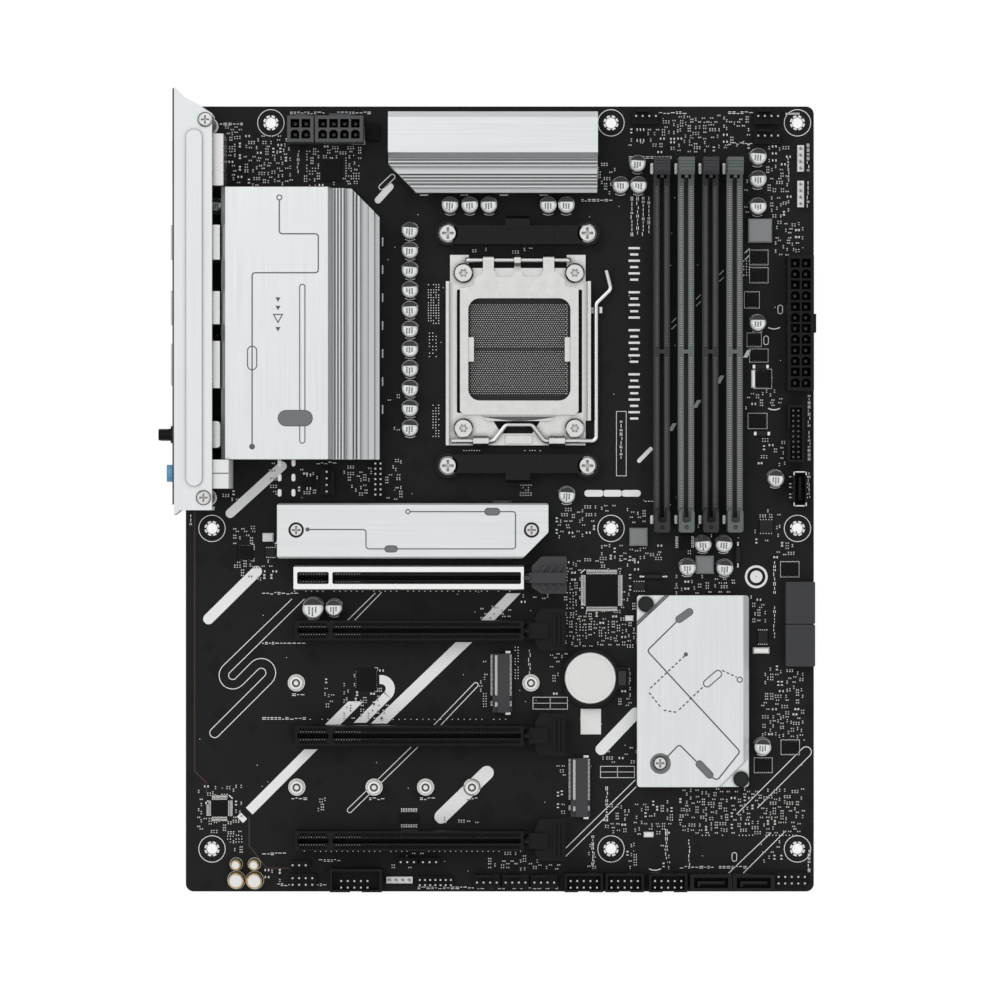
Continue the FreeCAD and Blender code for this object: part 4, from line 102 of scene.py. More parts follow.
def solids(node):
    """The box of each separate solid of a CAD node, from the rear edge on."""
    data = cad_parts[node].data
    keys = [tuple(round(c, 7) for c in v.co) for v in data.vertices]
    parent = {key: key for key in keys}

    def root(key):
        while parent[key] != key:
            parent[key] = parent[parent[key]]
            key = parent[key]
        return key

    for polygon in data.polygons:
        first = root(keys[polygon.vertices[0]])
        for index in polygon.vertices[1:]:
            parent[root(keys[index])] = first
    groups = {}
    for key in parent:
        groups.setdefault(root(key), []).append(board_place(key))
    boxes = []
    for points in groups.values():
        boxes.append(Box(*(side(axis) for axis in zip(*points) for side in (min, max))))
    return sorted(boxes)


# ---- shapes
def around(across, down, radius, start, end, steps):
    """Points along an arc; angles run from the right, clockwise seen from above."""
    angles = [math.radians(start + (end - start) * i / steps) for i in range(steps + 1)]
    return [(across + radius * math.cos(a), down + radius * math.sin(a)) for a in angles]


def arc(across, down, radius, start, end):
    """An arc with a point at about every 15 degrees."""
    return around(across, down, radius, start, end, max(4, int(abs(end - start) / 15)))


class Shapes:
    """Many small closed solids, gathered into one mesh. Ink is a face's material number."""

    def __init__(self):
        self.points = []
        self.faces = []
        self.inks = []

    def stack(self, rings, ink=0, closed=False):
        """A solid through rings of equally many points; a closed one runs back to its start."""
        start = len(self.points)
        count = len(rings[0])
        for ring in rings:
            self.points += ring
        for level in range(len(rings) - (not closed)):
            a = start + level * count
            b = start + (level + 1) % len(rings) * count
            for i in range(count):
                j = (i + 1) % count
                self.faces.append((a + i, a + j, b + j, b + i))
        if not closed:
            last = start + (len(rings) - 1) * count
            self.faces.append(tuple(range(start, start + count)))
            self.faces.append(tuple(range(last, last + count)))
        self.inks += [ink] * (len(self.faces) - len(self.inks))

    def prism(self, outline, low=INK_LOW, high=INK_HIGH, ink=0):
        """An upright prism on an outline seen from above."""
        self.stack([[at(x, y, height) for x, y in outline] for height in (low, high)], ink)

    def block(self, left, right, top, bottom, low=INK_LOW, high=INK_HIGH, ink=0, edge=0.0):
        """A box whose top edges may be bevelled."""
        rings = []
        for height, cut in [(low, 0.0), (high - edge, 0.0)] + [(high, edge)] * (edge > 0):
            a, b, c, d = left + cut, right - cut, top + cut, bottom - cut
            rings.append([at(a, c, height), at(b, c, height), at(b, d, height), at(a, d, height)])
        self.stack(rings, ink)

    def pad(self, across, down, half, tall, low=INK_LOW, high=INK_HIGH, ink=0, edge=0.0):
        """A box given by its middle and its half sizes across and down."""
        self.block(across - half, across + half, down - tall, down + tall, low, high, ink, edge)

    def turn(self, across, down, profile, ink=0, sides=16):
        """A solid turned about an upright axis, on a profile of (radius, height)."""
        rings = []
        for radius, height in profile:
            circle = around(across, down, radius, 0, 360 - 360 / sides, sides - 1)
            rings.append([at(x, y, height) for x, y in circle])
        self.stack(rings, ink)

    def ribbon(self, path, width, low=INK_LOW, high=INK_HIGH, ink=0, ends="round", closed=False):
        """A flat band along a path, with mitred corners and round or flat ends."""
        points = [Vector(p) for p in path]
        half = width / 2
        sections = []
        for i, p in enumerate(points):
            before = points[i - 1] if closed or i else p
            after = points[(i + 1) % len(points)] if closed or i + 1 < len(points) else p
            come = (p - before).normalized() if p != before else (after - p).normalized()
            go = (after - p).normalized() if p != after else come
            along = (come + go).normalized()
            side = Vector((-along.y, along.x))
            mitre = max(0.4, side.dot(Vector((-come.y, come.x))))
            sections.append((p, side * half / mitre))
        if ends == "round" and not closed:
            first, last = sections[0], sections[-1]
            back = (points[0] - points[1]).normalized() * half
            on = (points[-1] - points[-2]).normalized() * half
            for reach in (0.4, 0.75, 0.95):
                share = math.sqrt(1 - reach * reach)
                sections.insert(0, (first[0] + back * reach, first[1] * share))
                sections.append((last[0] + on * reach, last[1] * share))
        rings = []
        for p, side in sections:
            a, b = p + side, p - side
            rings.append([at(*a, low), at(*b, low), at(*b, high), at(*a, high)])
        self.stack(rings, ink, closed)

    def ring(
        self, across, down, radius, width, low=INK_LOW, high=INK_HIGH, ink=0, start=0.0, end=360.0
    ):
        """A flat ring or arc; angles run from the right, clockwise seen from above."""
        steps = max(4, int((end - start) / 15))
        path = around(across, down, radius, start, end, steps)
        whole = end - start >= 360
        self.ribbon(path[:-1] if whole else path, width, low, high, ink, "flat", whole)


def capsule(start, end, radius):
    """The outline of a long slot with round ends."""
    (a, b), (c, d) = start, end
    first = math.degrees(math.atan2(d - b, c - a))
    far_end = around(c, d, radius, first - 90, first + 90, 8)
    return far_end + around(a, b, radius, first + 90, first + 270, 8)


def softened(path, radius):
    """A path with its inner corners rounded."""
    points = [Vector(p) for p in path]
    result = [points[0]]
    for before, corner, after in zip(points, points[1:], points[2:]):
        back = before - corner
        ahead = after - corner
        reach = min(radius, back.length / 2, ahead.length / 2)
        start = corner + back.normalized() * reach
        finish = corner + ahead.normalized() * reach
        for i in range(6):
            t = i / 5
            result.append(start * (1 - t) ** 2 + corner * 2 * t * (1 - t) + finish * t * t)
    result.append(points[-1])
    return result


def link(name, data):
    """Put a new object into the scene."""
    made = bpy.data.objects.new(name, data)
    bpy.context.scene.collection.objects.link(made)
    return made


def piece(name, shapes, materials, body="board", replaces=()):
    """Turn gathered shapes into one piece that rides on a CAD body."""
    data = bpy.data.meshes.new(name)
    data.from_pydata(shapes.points, [], shapes.faces)
    for material in materials:
        data.materials.append(material)
    data.polygons.foreach_set("material_index", shapes.inks)
    mesh = bmesh.new()
    mesh.from_mesh(data)
    bmesh.ops.recalc_face_normals(mesh, faces=mesh.faces)
    mesh.to_mesh(data)
    mesh.free()
    result = link(name, data)
    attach(result, body)
    if replaces:
        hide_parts(*replaces)
    return result


# ---- materials
# the size in mm of the patches that handling leaves
PATCH = 14.0


class Graph:
    """A small helper that adds and links the nodes of one material."""

    def __init__(self, name):
        self.material = bpy.data.materials.new(name)
        self.material.use_nodes = True
        self.tree = self.material.node_tree
        self.shader = self.tree.nodes["Principled BSDF"]
        self.coords = self.tree.nodes.new("ShaderNodeTexCoord").outputs["Object"]

    def feed(self, socket, value):
        """Link a value that comes from another node, or set a plain one."""
        if isinstance(value, bpy.types.NodeSocket):
            self.tree.links.new(value, socket)
        else:
            socket.default_value = value

    def node(self, kind, values, **settings):
        made = self.tree.nodes.new("ShaderNode" + kind)
        for key, value in settings.items():
            setattr(made, key, value)
        for key, value in values.items():
            self.feed(made.inputs[key], value)
        return made.outputs

    def mapping(self, **values):
        return self.node("Mapping", {"Vector": self.coords, **values})[0]

    def noise(self, size, stretch=(1, 1, 1), detail=3.0):
        """Noise whose features are size millimetres across, longer along a small stretch."""
        place = self.mapping(Scale=[s / (size * MM) for s in stretch])
        return self.node("TexNoise", {"Vector": place, "Scale": 1.0, "Detail": detail})["Fac"]

    def range(self, value, low, high, start=0.3, end=0.7):
        limits = {"From Min": start, "From Max": end, "To Min": low, "To Max": high}
        return self.node("MapRange", {"Value": value, **limits})[0]

    def mix(self, share, first, second):
        whole = [v if isinstance(v, bpy.types.NodeSocket) else (*v, 1.0) for v in (first, second)]
        return self.node("Mix", {"Factor": share, 6: whole[0], 7: whole[1]}, data_type="RGBA")[2]

    def math(self, operation, first, second):
        return self.node("Math", {0: first, 1: second}, operation=operation)[0]

    def place(self, axis):
        return self.node("SeparateXYZ", {0: self.coords})[axis]

    def set(self, name, value):
        self.feed(self.shader.inputs[name], value)

    def bump(self, strength, depth, height, **more):
        """Give the surface a relief that is depth millimetres deep."""
        values = {"Strength": strength, "Distance": depth * MM, "Height": height, **more}
        self.set("Normal", self.node("Bump", values)[0])


def surface(
    name, colour, rough, metal=0.0, grain=0.3, stretch=(1, 1, 1), spread=0.12, bump=0.15,
    specular=0.5, edge=0.0, rounding=0.12, blotch=0.3, cavity_shade=0.0, low_shade=None,
):
    """A surface with fine grain, larger patches of handling, a painted highlight on its edges
    and rounded corners.

    The cavity width darkens recesses up to that many millimetres wide: painted shade. The fade
    is a height, a higher height and the share of its colour that the surface keeps below the
    first of them: painted shade on lower steps.
    """
    g = Graph(name)
    fine = g.noise(grain, stretch)
    dark = [c * (1 - spread) for c in colour]
    light = [min(1.0, c * (1 + spread)) for c in colour]
    shade = g.mix(g.range(fine, 0, 1), dark, light)
    shade = g.mix(g.range(g.noise(PATCH), 0, blotch), shade, dark)
    # Painted shade: darker below a given height, where lower steps lie in shade.
    if low_shade:
        low, high, kept = low_shade
        share = g.range(g.place("Z"), 1.0, 0.0, FACE + low * MM, FACE + high * MM)
        shade = g.mix(share, shade, [c * kept for c in colour])
    # Painted shade: ambient occlusion darkens recesses and the corners between parts.
    if cavity_shade:
        seen = g.node("AmbientOcclusion", {"Distance": cavity_shade * MM}, samples=4)["AO"]
        shade = g.mix(g.range(seen, 0.85, 0.0, 0.35, 0.93), shade, [c * 0.1 for c in colour])
    rounded = g.node("Bevel", {"Radius": rounding * MM}, samples=3)[0]
    # Painted highlight: edges are lighter where the rounded normal turns away from the flat one.
    if edge:
        flat = g.node("NewGeometry", {})["Normal"]
        facing = g.node("VectorMath", {0: rounded, 1: flat}, operation="DOT_PRODUCT")["Value"]
        toned = g.range(facing, edge, 0.0, 0.8, 0.99)
        shade = g.mix(toned, shade, [min(1.0, c * 1.6 + 0.04) for c in colour])
    g.set("Base Color", shade)
    g.set("Metallic", metal)
    g.set("Specular IOR Level", specular)
    g.set("Roughness", g.range(fine, max(0.03, rough - 0.07), min(1.0, rough + 0.07)))
    g.bump(bump, 0.02, fine, Normal=rounded)
    return g.material


def board_surface():
    """Black solder mask over copper pours and bundles of traces that barely show."""
    g = Graph("solder_mask")
    cells = {"Vector": g.mapping(Scale=(90, 90, 90)), "Scale": 1.0}
    pours = g.node("TexVoronoi", cells, distance="MANHATTAN")["Distance"]
    pour = g.range(pours, 0, 1, 0.42, 0.44)
    turned = g.mapping(Rotation=(0, 0, math.radians(45)))
    waves = g.node("TexWave", {"Vector": turned, "Scale": 300.0, "Distortion": 0.4})["Fac"]
    where = g.range(g.noise(18.0, detail=1.0), 0, 1, 0.52, 0.56)
    traces = g.math("MULTIPLY", g.range(waves, 0, 1, 0.55, 0.75), where)
    shade = g.mix(pour, (0.0096, 0.0098, 0.0104), (0.0122, 0.0125, 0.0132))
    g.set("Base Color", g.mix(traces, shade, (0.0140, 0.0142, 0.0148)))
    fine = g.noise(0.25)
    g.set("Roughness", g.range(fine, 0.38, 0.52))
    g.set("Specular IOR Level", 0.09)
    g.bump(0.12, 0.03, g.math("ADD", g.math("MULTIPLY", traces, 0.6), fine))
    return g.material


def banded(name, bands, rough=0.4, metal=0.0):
    """One material whose colour changes with height: bands are (height in mm, colour)."""
    g = Graph(name)
    height = g.place("Z")
    shade = bands[0][1]
    for limit, colour in bands[1:]:
        shade = g.mix(g.math("GREATER_THAN", height, FACE + limit * MM), shade, colour)
    fine = g.noise(0.2)
    g.set("Base Color", g.mix(g.range(fine, 0.0, 0.12), shade, (0.02, 0.02, 0.02)))
    g.set("Roughness", g.range(fine, rough - 0.05, rough + 0.1))
    g.set("Metallic", metal)
    g.bump(0.1, 0.02, fine)
    return g.material


# In the materials below, a cavity width paints shade into recesses and an edge share paints a highlight
# along edges.
DOWN_BRUSHED = (1, 0.008, 1)
ACROSS_BRUSHED = (0.008, 1, 1)

MASK = board_surface()
INK = surface("white_ink", (0.82, 0.83, 0.825), 0.6, grain=0.4, spread=0.06, bump=0.2, specular=0.3)
TIN = surface("tin", (0.82, 0.82, 0.80), 0.3, metal=1.0, grain=0.25, bump=0.3)
COPPER_TRACE = surface("covered_trace", (0.045, 0.026, 0.017), 0.45, specular=0.25)
GREY_TRACE = surface("grey_trace", (0.0138, 0.0140, 0.0148), 0.45, specular=0.1)
ALU = dict(
    colour=(0.73, 0.755, 0.76), rough=0.36, metal=0.85, grain=0.3, spread=0.05, bump=0.2,
    edge=0.5, rounding=0.2, blotch=0.15, cavity_shade=1.2,
)
ALU_DOWN = surface("aluminium_brushed_down", stretch=DOWN_BRUSHED, **ALU)
ALU_ACROSS = surface("aluminium_brushed_across", stretch=ACROSS_BRUSHED, **ALU)
# The power heatsinks are darker below 17 to 23 mm: painted shade on their lower steps.
POWER_DOWN = surface("power_heatsink_left", stretch=DOWN_BRUSHED, low_shade=(17.0, 23.0, 0.72), **ALU)
POWER_ACROSS = surface("power_heatsink_top", stretch=ACROSS_BRUSHED, low_shade=(17.0, 23.0, 0.84), **ALU)
SHIELD = surface("slot_shield", (0.86, 0.86, 0.85), 0.4, metal=0.7, spread=0.03, edge=0.3, cavity_shade=0.8)
# Painted shade where the load plate meets the frame, and painted highlights along its edges.
STEEL = surface(
    "stainless", (0.71, 0.71, 0.70), 0.27, metal=1.0, grain=3.0, spread=0.015, bump=0.015,
    edge=0.4, cavity_shade=2.2,
)
WIRE = surface("spring_wire", (0.68, 0.68, 0.67), 0.22, metal=1.0, grain=0.6, spread=0.05, cavity_shade=0.8)
DARK_STEEL = surface("dark_steel", (0.20, 0.20, 0.205), 0.45, metal=1.0, grain=0.4, bump=0.3, edge=0.5)
CLIP = surface("clip_steel", (0.03, 0.03, 0.032), 0.4, metal=0.6, grain=0.4, bump=0.2, edge=0.5)
NICKEL = surface(
    "nickel", (0.74, 0.74, 0.73), 0.24, metal=1.0, grain=0.5, spread=0.05, edge=0.3, cavity_shade=1.4,
)
BLACK = surface(
    "black_moulding", (0.010, 0.010, 0.011), 0.4, grain=0.18, bump=0.3, specular=0.1, edge=0.35,
)
# Bright painted highlights around the edges of the black cooler brackets.
GLOSS = surface(
    "gloss_black", (0.003, 0.003, 0.0032), 0.22, grain=0.3, bump=0.1, specular=0.23, edge=0.9,
)
SLOT_BLACK = surface(
    "slot_black", (0.038, 0.038, 0.040), 0.45, grain=0.18, bump=0.3, specular=0.13, edge=0.5,
)
CHARCOAL = surface("charcoal", (0.048, 0.049, 0.052), 0.5, grain=0.2, bump=0.35, specular=0.2, edge=0.4)
EPS_GREY = surface(
    "plug_charcoal", (0.082, 0.084, 0.088), 0.5, grain=0.2, bump=0.3, specular=0.2, edge=0.4,
)
SLOT_GREY = surface(
    "slot_grey", (0.125, 0.135, 0.138), 0.48, grain=0.18, bump=0.3, specular=0.2, edge=0.5,
)
RUNG_GREY = surface("rung_grey", (0.50, 0.51, 0.51), 0.5, grain=0.2, specular=0.2)
RUNG_BLACK = surface("rung_black", (0.20, 0.20, 0.205), 0.5, grain=0.2, specular=0.15)
WHITE = surface(
    "white_moulding", (0.78, 0.79, 0.79), 0.45, grain=0.2, spread=0.04, bump=0.2, edge=0.3, cavity_shade=1.0,
)
COVER = surface(
    "cover_white", (0.77, 0.795, 0.80), 0.42, metal=0.15, grain=0.6,
    stretch=DOWN_BRUSHED, spread=0.035, bump=0.2, edge=0.4, rounding=0.3, cavity_shade=2.0,
)
PAD = surface("thermal_pad", (0.33, 0.36, 0.42), 0.8, grain=0.5, bump=0.6)
RUBBER = surface("rubber", (0.012, 0.013, 0.013), 0.7, grain=0.15, bump=0.6, specular=0.3)
FERRITE = surface(
    "pressed_powder", (0.215, 0.225, 0.23), 0.55, metal=0.3, grain=0.22, spread=0.2, bump=0.5, edge=0.4,
)
CAN = surface("can_aluminium", (0.80, 0.81, 0.81), 0.28, metal=0.75, spread=0.04, bump=0.1, cavity_shade=0.8)
CAN_INK = surface("can_dark_ink", (0.030, 0.031, 0.034), 0.35, grain=0.3, specular=0.3)
GREY_INK = surface("grey_ink", (0.11, 0.12, 0.12), 0.5, grain=0.3)
GILT = surface(
    "gilt", (0.86, 0.66, 0.34), 0.25, metal=1.0, grain=0.4, spread=0.08, edge=0.3, cavity_shade=0.8,
)
GOLD = surface("gold_contact", (0.80, 0.66, 0.36), 0.28, metal=1.0, grain=0.3)
PALE_GOLD = surface("pale_contact", (0.56, 0.555, 0.54), 0.32, metal=0.9, grain=0.3)
EPOXY = surface(
    "chip_epoxy", (0.0055, 0.0055, 0.006), 0.5, grain=0.12, spread=0.3, bump=0.5, specular=0.1, edge=0.2,
)
PANEL = surface("panel_paint", (0.035, 0.036, 0.04), 0.5, metal=0.3, grain=0.16, bump=0.5, edge=0.4)
BRASS = surface("plated_brass", (0.84, 0.83, 0.80), 0.27, metal=1.0, grain=0.4, edge=0.3, cavity_shade=1.2)
CERAMIC = surface("ceramic", (0.26, 0.22, 0.17), 0.5, grain=0.2, spread=0.2)
RESISTOR = surface("resistor_black", (0.012, 0.012, 0.013), 0.35, grain=0.2, specular=0.2)
LABEL = surface("paper_label", (0.80, 0.80, 0.78), 0.7, grain=0.3, spread=0.03, bump=0.3)
BLUE = surface("blue_moulding", (0.03, 0.10, 0.42), 0.45, grain=0.2, bump=0.25)
GREEN_LED = surface("green_lens", (0.16, 0.55, 0.20), 0.25, grain=0.3)
AMBER_LED = surface("amber_lens", (0.80, 0.42, 0.08), 0.25, grain=0.3)
CELL = surface(
    "battery_steel", (0.74, 0.735, 0.72), 0.36, metal=0.9, grain=0.35, spread=0.12, bump=0.3, edge=0.3,
)
JACKS = banded(
    "jack_colours", [(0, (0.72, 0.22, 0.32)), (11, (0.26, 0.60, 0.20)), (22, (0.13, 0.42, 0.66))]
)
# pins are dark below 8 mm and from 8.9 to 9.1 mm, painted shade inside their housings;
# the power pins end at 9 mm, between the heights of the other pins
PINS = banded(
    "pin_plating_and_painted_shade",
    [
        (0, (0.14, 0.14, 0.135)),
        (8.0, (0.60, 0.59, 0.56)),
        (8.9, (0.05, 0.05, 0.05)),
        (9.1, (0.60, 0.59, 0.56)),
    ],
    0.3,
    0.9,
)
ETCHED = surface("etched_dark", (0.10, 0.105, 0.11), 0.5, metal=0.4, grain=0.25, bump=0.3)
ETCHED_GREY = surface(
    "etched_grey", (0.165, 0.175, 0.18), 0.5, metal=0.4, grain=0.2, spread=0.15, bump=0.4,
)


def drive_port_moulding():
    """Charcoal at the board's front edge, black along its bottom edge."""
    g = Graph("drive_port_moulding")
    limit = at(0, 280, 0).y
    share = g.range(g.place("Y"), 1.0, 0.0, limit, limit + MM)
    fine = g.noise(0.2)
    toned = g.mix(g.range(fine, 0.0, 0.3), (0.046, 0.047, 0.050), (0.056, 0.057, 0.060))
    g.set("Base Color", g.mix(share, toned, (0.010, 0.010, 0.011)))
    g.set("Roughness", g.range(fine, 0.42, 0.56))
    g.set("Specular IOR Level", 0.15)
    g.bump(0.3, 0.02, fine)
    return g.material


DRIVE_PORTS = drive_port_moulding()

LOOKS = (
    (MASK, "pcb"),
    (DARK_STEEL, "socket_backplate"),
    (SLOT_BLACK, "socket_housing memory_slots_dark"),
    (STEEL, "socket_frame load_plate"),
    (WIRE, "socket_hinge_wire load_lever"),
    (NICKEL, (
        "socket_screws cooler_bracket_screws drive_heatsink_screws heatsink_screws usb_stacks "
        "video_ports wireless_module io_cover_screws"
    )),
    (GLOSS, "cooler_brackets"),
    (SLOT_GREY, "memory_slots_grey memory_latch_2 memory_latch_4"),
    (CHARCOAL, "memory_latch_1 memory_latch_3 card_latch_1 drive_sockets"),
    (BLACK, (
        "card_slots card_latch_2 card_latch_3 card_latch_4 antenna_jacks flashback_switch "
        "atx_power_connector fan_headers pin_headers front_usb_headers battery_holder"
    )),
    (SHIELD, "card_slot_shield"),
    (BRASS, "standoffs"),
    (ALU_ACROSS, "drive_heatsink"),
    (PAD, "drive_thermal_pad thermal_pads"),
    (POWER_DOWN, "vrm_heatsink_left"),
    (POWER_ACROSS, "vrm_heatsink_top"),
    (FERRITE, "inductors"),
    (ALU_DOWN, "chipset_heatsink"),
    (RUBBER, "chipset_bumpers"),
    (WHITE, "audio_block flashback_button light_headers"),
    (JACKS, "audio_jacks"),
    (PANEL, "io_shield"),
    (COVER, "io_cover"),
    (EPS_GREY, "cpu_power_connectors"),
    (DRIVE_PORTS, "sata_ports"),
    (PINS, "connector_pins"),
    (CAN, "capacitors"),
    (GILT, "audio_capacitors"),
    (EPOXY, "ic_packages"),
    (CLIP, "battery_clip"),
    (CELL, "battery"),
    (PALE_GOLD, "socket_contacts"),
)
for material, nodes in LOOKS:
    for node in nodes.split():
        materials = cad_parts[node].data.materials
        materials.clear()
        materials.append(material)


# ---- room on the board
GRID = 0.25
TAKEN = np.zeros((int(LENGTH / GRID) + 2, int(WIDTH / GRID) + 2), bool)
RAISED = ("pcb", "io_cover", "io_shield", "thermal_pads", "drive_thermal_pad", "drive_heatsink")
LOW_PART = 2.0


def mark_cad_parts():
    """Mark the patches of the board that CAD parts stand on."""
    for name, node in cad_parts.items():
        if name in RAISED:
            continue
        points = np.array([board_place(v.co) for v in node.data.vertices])
        for polygon in node.data.polygons:
            corners = points[list(polygon.vertices)]
            low = corners.min(0)
            high = corners.max(0)
            if low[2] < LOW_PART and high[2] > -0.2:
                rows = slice(max(0, int(low[1] / GRID)), max(0, int(high[1] / GRID) + 1))
                columns = slice(max(0, int(low[0] / GRID)), max(0, int(high[0] / GRID) + 1))
                TAKEN[rows, columns] = True


def claim(left, right, top, bottom, margin=0.18):
    """Take a patch of the board, or say no if something stands there or it runs off."""
    if left < 1 or top < 1 or right > WIDTH - 1 or bottom > LENGTH - 1:
        return False
    rows = slice(int((top - margin) / GRID), int((bottom + margin) / GRID) + 1)
    columns = slice(int((left - margin) / GRID), int((right + margin) / GRID) + 1)
    if TAKEN[rows, columns].any():
        return False
    TAKEN[rows, columns] = True
    return True


mark_cad_parts()

# ---- standoff holes
HOLES = [(33.02, 6.35)]
HOLES += [(across, 6.35) for across in (165.10, 237.49)]
HOLES += [(across, down) for across in (10.16, 165.10, 237.49) for down in (163.83, 288.29)]


def standoff_holes():
    """White rings and bare screw lands round the standoff holes, on both faces."""
    ink = Shapes()
    lands = Shapes()
    for across, down in HOLES:
        claim(across - 5.4, across + 5.4, down - 5.4, down + 5.4, 0)
        ink.ring(across, down, 5.15, 0.28)
        for low, high in ((INK_LOW, INK_HIGH), (UNDER - INK_HIGH, UNDER - INK_LOW)):
            for i in range(8):
                start = 45 * i + 6
                lands.ring(across, down, 2.62, 0.62, low, high, 0, start, start + 30)
            lands.ring(across, down, 2.12, 0.2, low, high)
    piece("hole_rings", ink, [INK])
    piece("hole_lands", lands, [TIN])


# ---- printed pattern
def slanted(ink, start, end, width, level_ends=(True, True)):
    """A stripe from its lower left end to its upper right end, each cut level or square."""
    left = []
    right = []
    for (across, down), level in zip((start, end), level_ends):
        reach = width / math.sqrt(2)
        shift = (reach, 0.0) if level else (reach / 2, reach / 2)
        left.append((across - shift[0], down - shift[1]))
        right.append((across + shift[0], down + shift[1]))
    ink.prism(left + right[::-1])


def stripes(ink):
    """The broad white stripes that run at 45 degrees."""
    for start, end, width in (
        ((17.2, 158.0), (37.4, 139.6), 3.6),
        ((8.8, 199.0), (27.5, 180.5), 4.2),
        ((74.6, 36.4), (79.4, 31.1), 2.6),
        ((99.2, 275.8), (116.9, 258.7), 5.4),
        ((161.3, 249.6), (174.6, 235.6), 4.5),
        ((176.0, 137.6), (180.5, 133.0), 1.6),
    ):
        ink.ribbon([start, end], width)
    slanted(ink, (35.0, 169.9), (36.6, 168.0), 1.0)
    ink.ribbon([(21.0, 277.0), (22.6, 275.4)], 3.4, ends="flat")
    for start, end, width, level_ends in (
        ((116.9, 199.8), (127.4, 189.0), 3.7, (True, True)),
        ((75.0, 239.6), (108.0, 208.0), 4.5, (True, True)),
        ((57.0, 240.0), (66.0, 231.0), 4.2, (True, True)),
        ((67.6, 239.3), (78.3, 228.6), 3.5, (True, False)),
        ((24.6, 273.6), (48.6, 249.6), 3.7, (False, True)),
    ):
        slanted(ink, start, end, width, level_ends)
    ink.ring(75.8, 226.1, 3.6, 3.5, start=-100, end=48)
    for across, down in ((189.0, 124.5), (198.5, 115.5), (207.5, 106.0), (218.0, 96.0)):
        slanted(ink, (across - 0.8, down + 1.5), (across + 0.8, down - 1.5), 1.15)
    for across, down in ((189.5, 83.0), (199.0, 74.0), (208.0, 64.5), (218.0, 56.0)):
        for step in (0, 2.6):
            ink.ribbon([(across - 0.8, down + 0.8 + step), (across + 0.8, down - 0.8 + step)], 0.35)


LINE = 0.32


def line_pattern(ink):
    """The thin white lines: a long folded loop and several pairs."""
    loop = [(41.1, 191.3)]
    loop += arc(18.2, 220.9, 5.3, 225, 45)
    loop += arc(29.3, 219.9, 1.8, 225, 405)
    loop += arc(11.2, 243.2, 1.9, 225, 45)
    loop += arc(29.3, 219.9, 5.6, 405, 225)
    loop += arc(18.2, 220.9, 1.6, 45, 225)
    loop.append((46.0, 191.3))
    hairpins = (
        [(214.0, 274.7)] + arc(240.9, 250.6, 2.0, 225, 405) + [(222.0, 272.3)],
        [(95.9, 240.6)] + arc(112.6, 224.6, 0.9, 225, 405) + [(98.6, 240.6)],
        [(87.4, 248.8)] + arc(63.6, 273.3, 0.9, 225, 45) + [(90.0, 248.8)],
    )
    ink.ribbon(capsule((76.0, 31.3), (80.2, 27.3), 1.0), LINE, closed=True)
    for path in (
        loop,
        *hairpins,
        [(62.8, 199.5), (73.5, 189.0)],
        [(65.5, 199.5), (76.0, 188.7)],
        [(147.0, 288.5), (174.5, 261.5)],
        [(147.5, 291.2), (174.8, 264.2)],
        [(210.2, 298.2), (227.1, 282.1)],
        [(216.2, 297.9), (232.6, 281.6)],
        [(69.4, 8.0), (69.4, 14.6), (64.6, 14.6)],
        [(216.0, 45.8), (214.4, 47.6)],
        [(216.2, 48.2), (213.6, 51.2)],
    ):
        ink.ribbon(path, LINE)


def tick_marks(ink):
    """Short dashes beside the power stages and small outlines round open parts."""
    for i in range(7):
        down = 52.5 + 10.85 * i
        ink.ribbon([(76.4, down - 1.5), (76.4, down + 1.5)], 0.5)
    for i in range(4):
        across = 92.5 + 15.5 * i
        ink.ribbon([(across - 1.5, 34.4), (across + 1.5, 34.4)], 0.4)
    for left, right, top, bottom in (
        (167.2, 171.0, 118.4, 143.4),
        (134.8, 148.2, 229.4, 234.0),
        (161.0, 174.2, 256.2, 260.6),
        (233.0, 238.2, 2.6, 3.0),
    ):
        ink.ribbon([(left, top), (right, top), (right, bottom), (left, bottom)], 0.22, closed=True)
    for left, right, down in ((134.8, 148.2, 231.7), (161.0, 174.2, 258.4)):
        ink.ribbon([(left, down), (right, down)], 0.2, ends="flat")
    for across, down in ((141.5, 229.4), (167.6, 256.2)):
        ink.ribbon([(across, down), (across, down + 4.4)], 0.2, ends="flat")
    for across, down in ((225.3, 90.8), (230.8, 78.8), (213.0, 291.4)):
        ink.ribbon(capsule((across, down - 0.8), (across, down + 0.8), 0.9), 0.28, closed=True)
    for across, down in ((228.4, 117.6), (228.4, 86.2), (182.2, 296.4)):
        ink.ring(across, down - 4.4, 4.6, 0.45, start=60, end=120)


def marking_row(ink, across, down, length, upright):
    """A row of plain dashes where a board carries small print."""
    size = 1.1
    place = 0.0
    while place < length:
        run = random.uniform(0.7, 1.6)
        shift = random.choice((-0.28, 0.0, 0.28)) * size
        sides = [shift]
        if shift and random.random() < 0.55:
            sides.append(-shift)
        for side in sides:
            path = [(across + place, down + side), (across + place + run, down + side)]
            if upright:
                path = [(across + side, down + place), (across + side, down + place + run)]
            ink.ribbon(path, 0.26 * size, ends="flat")
        place += run + 0.45


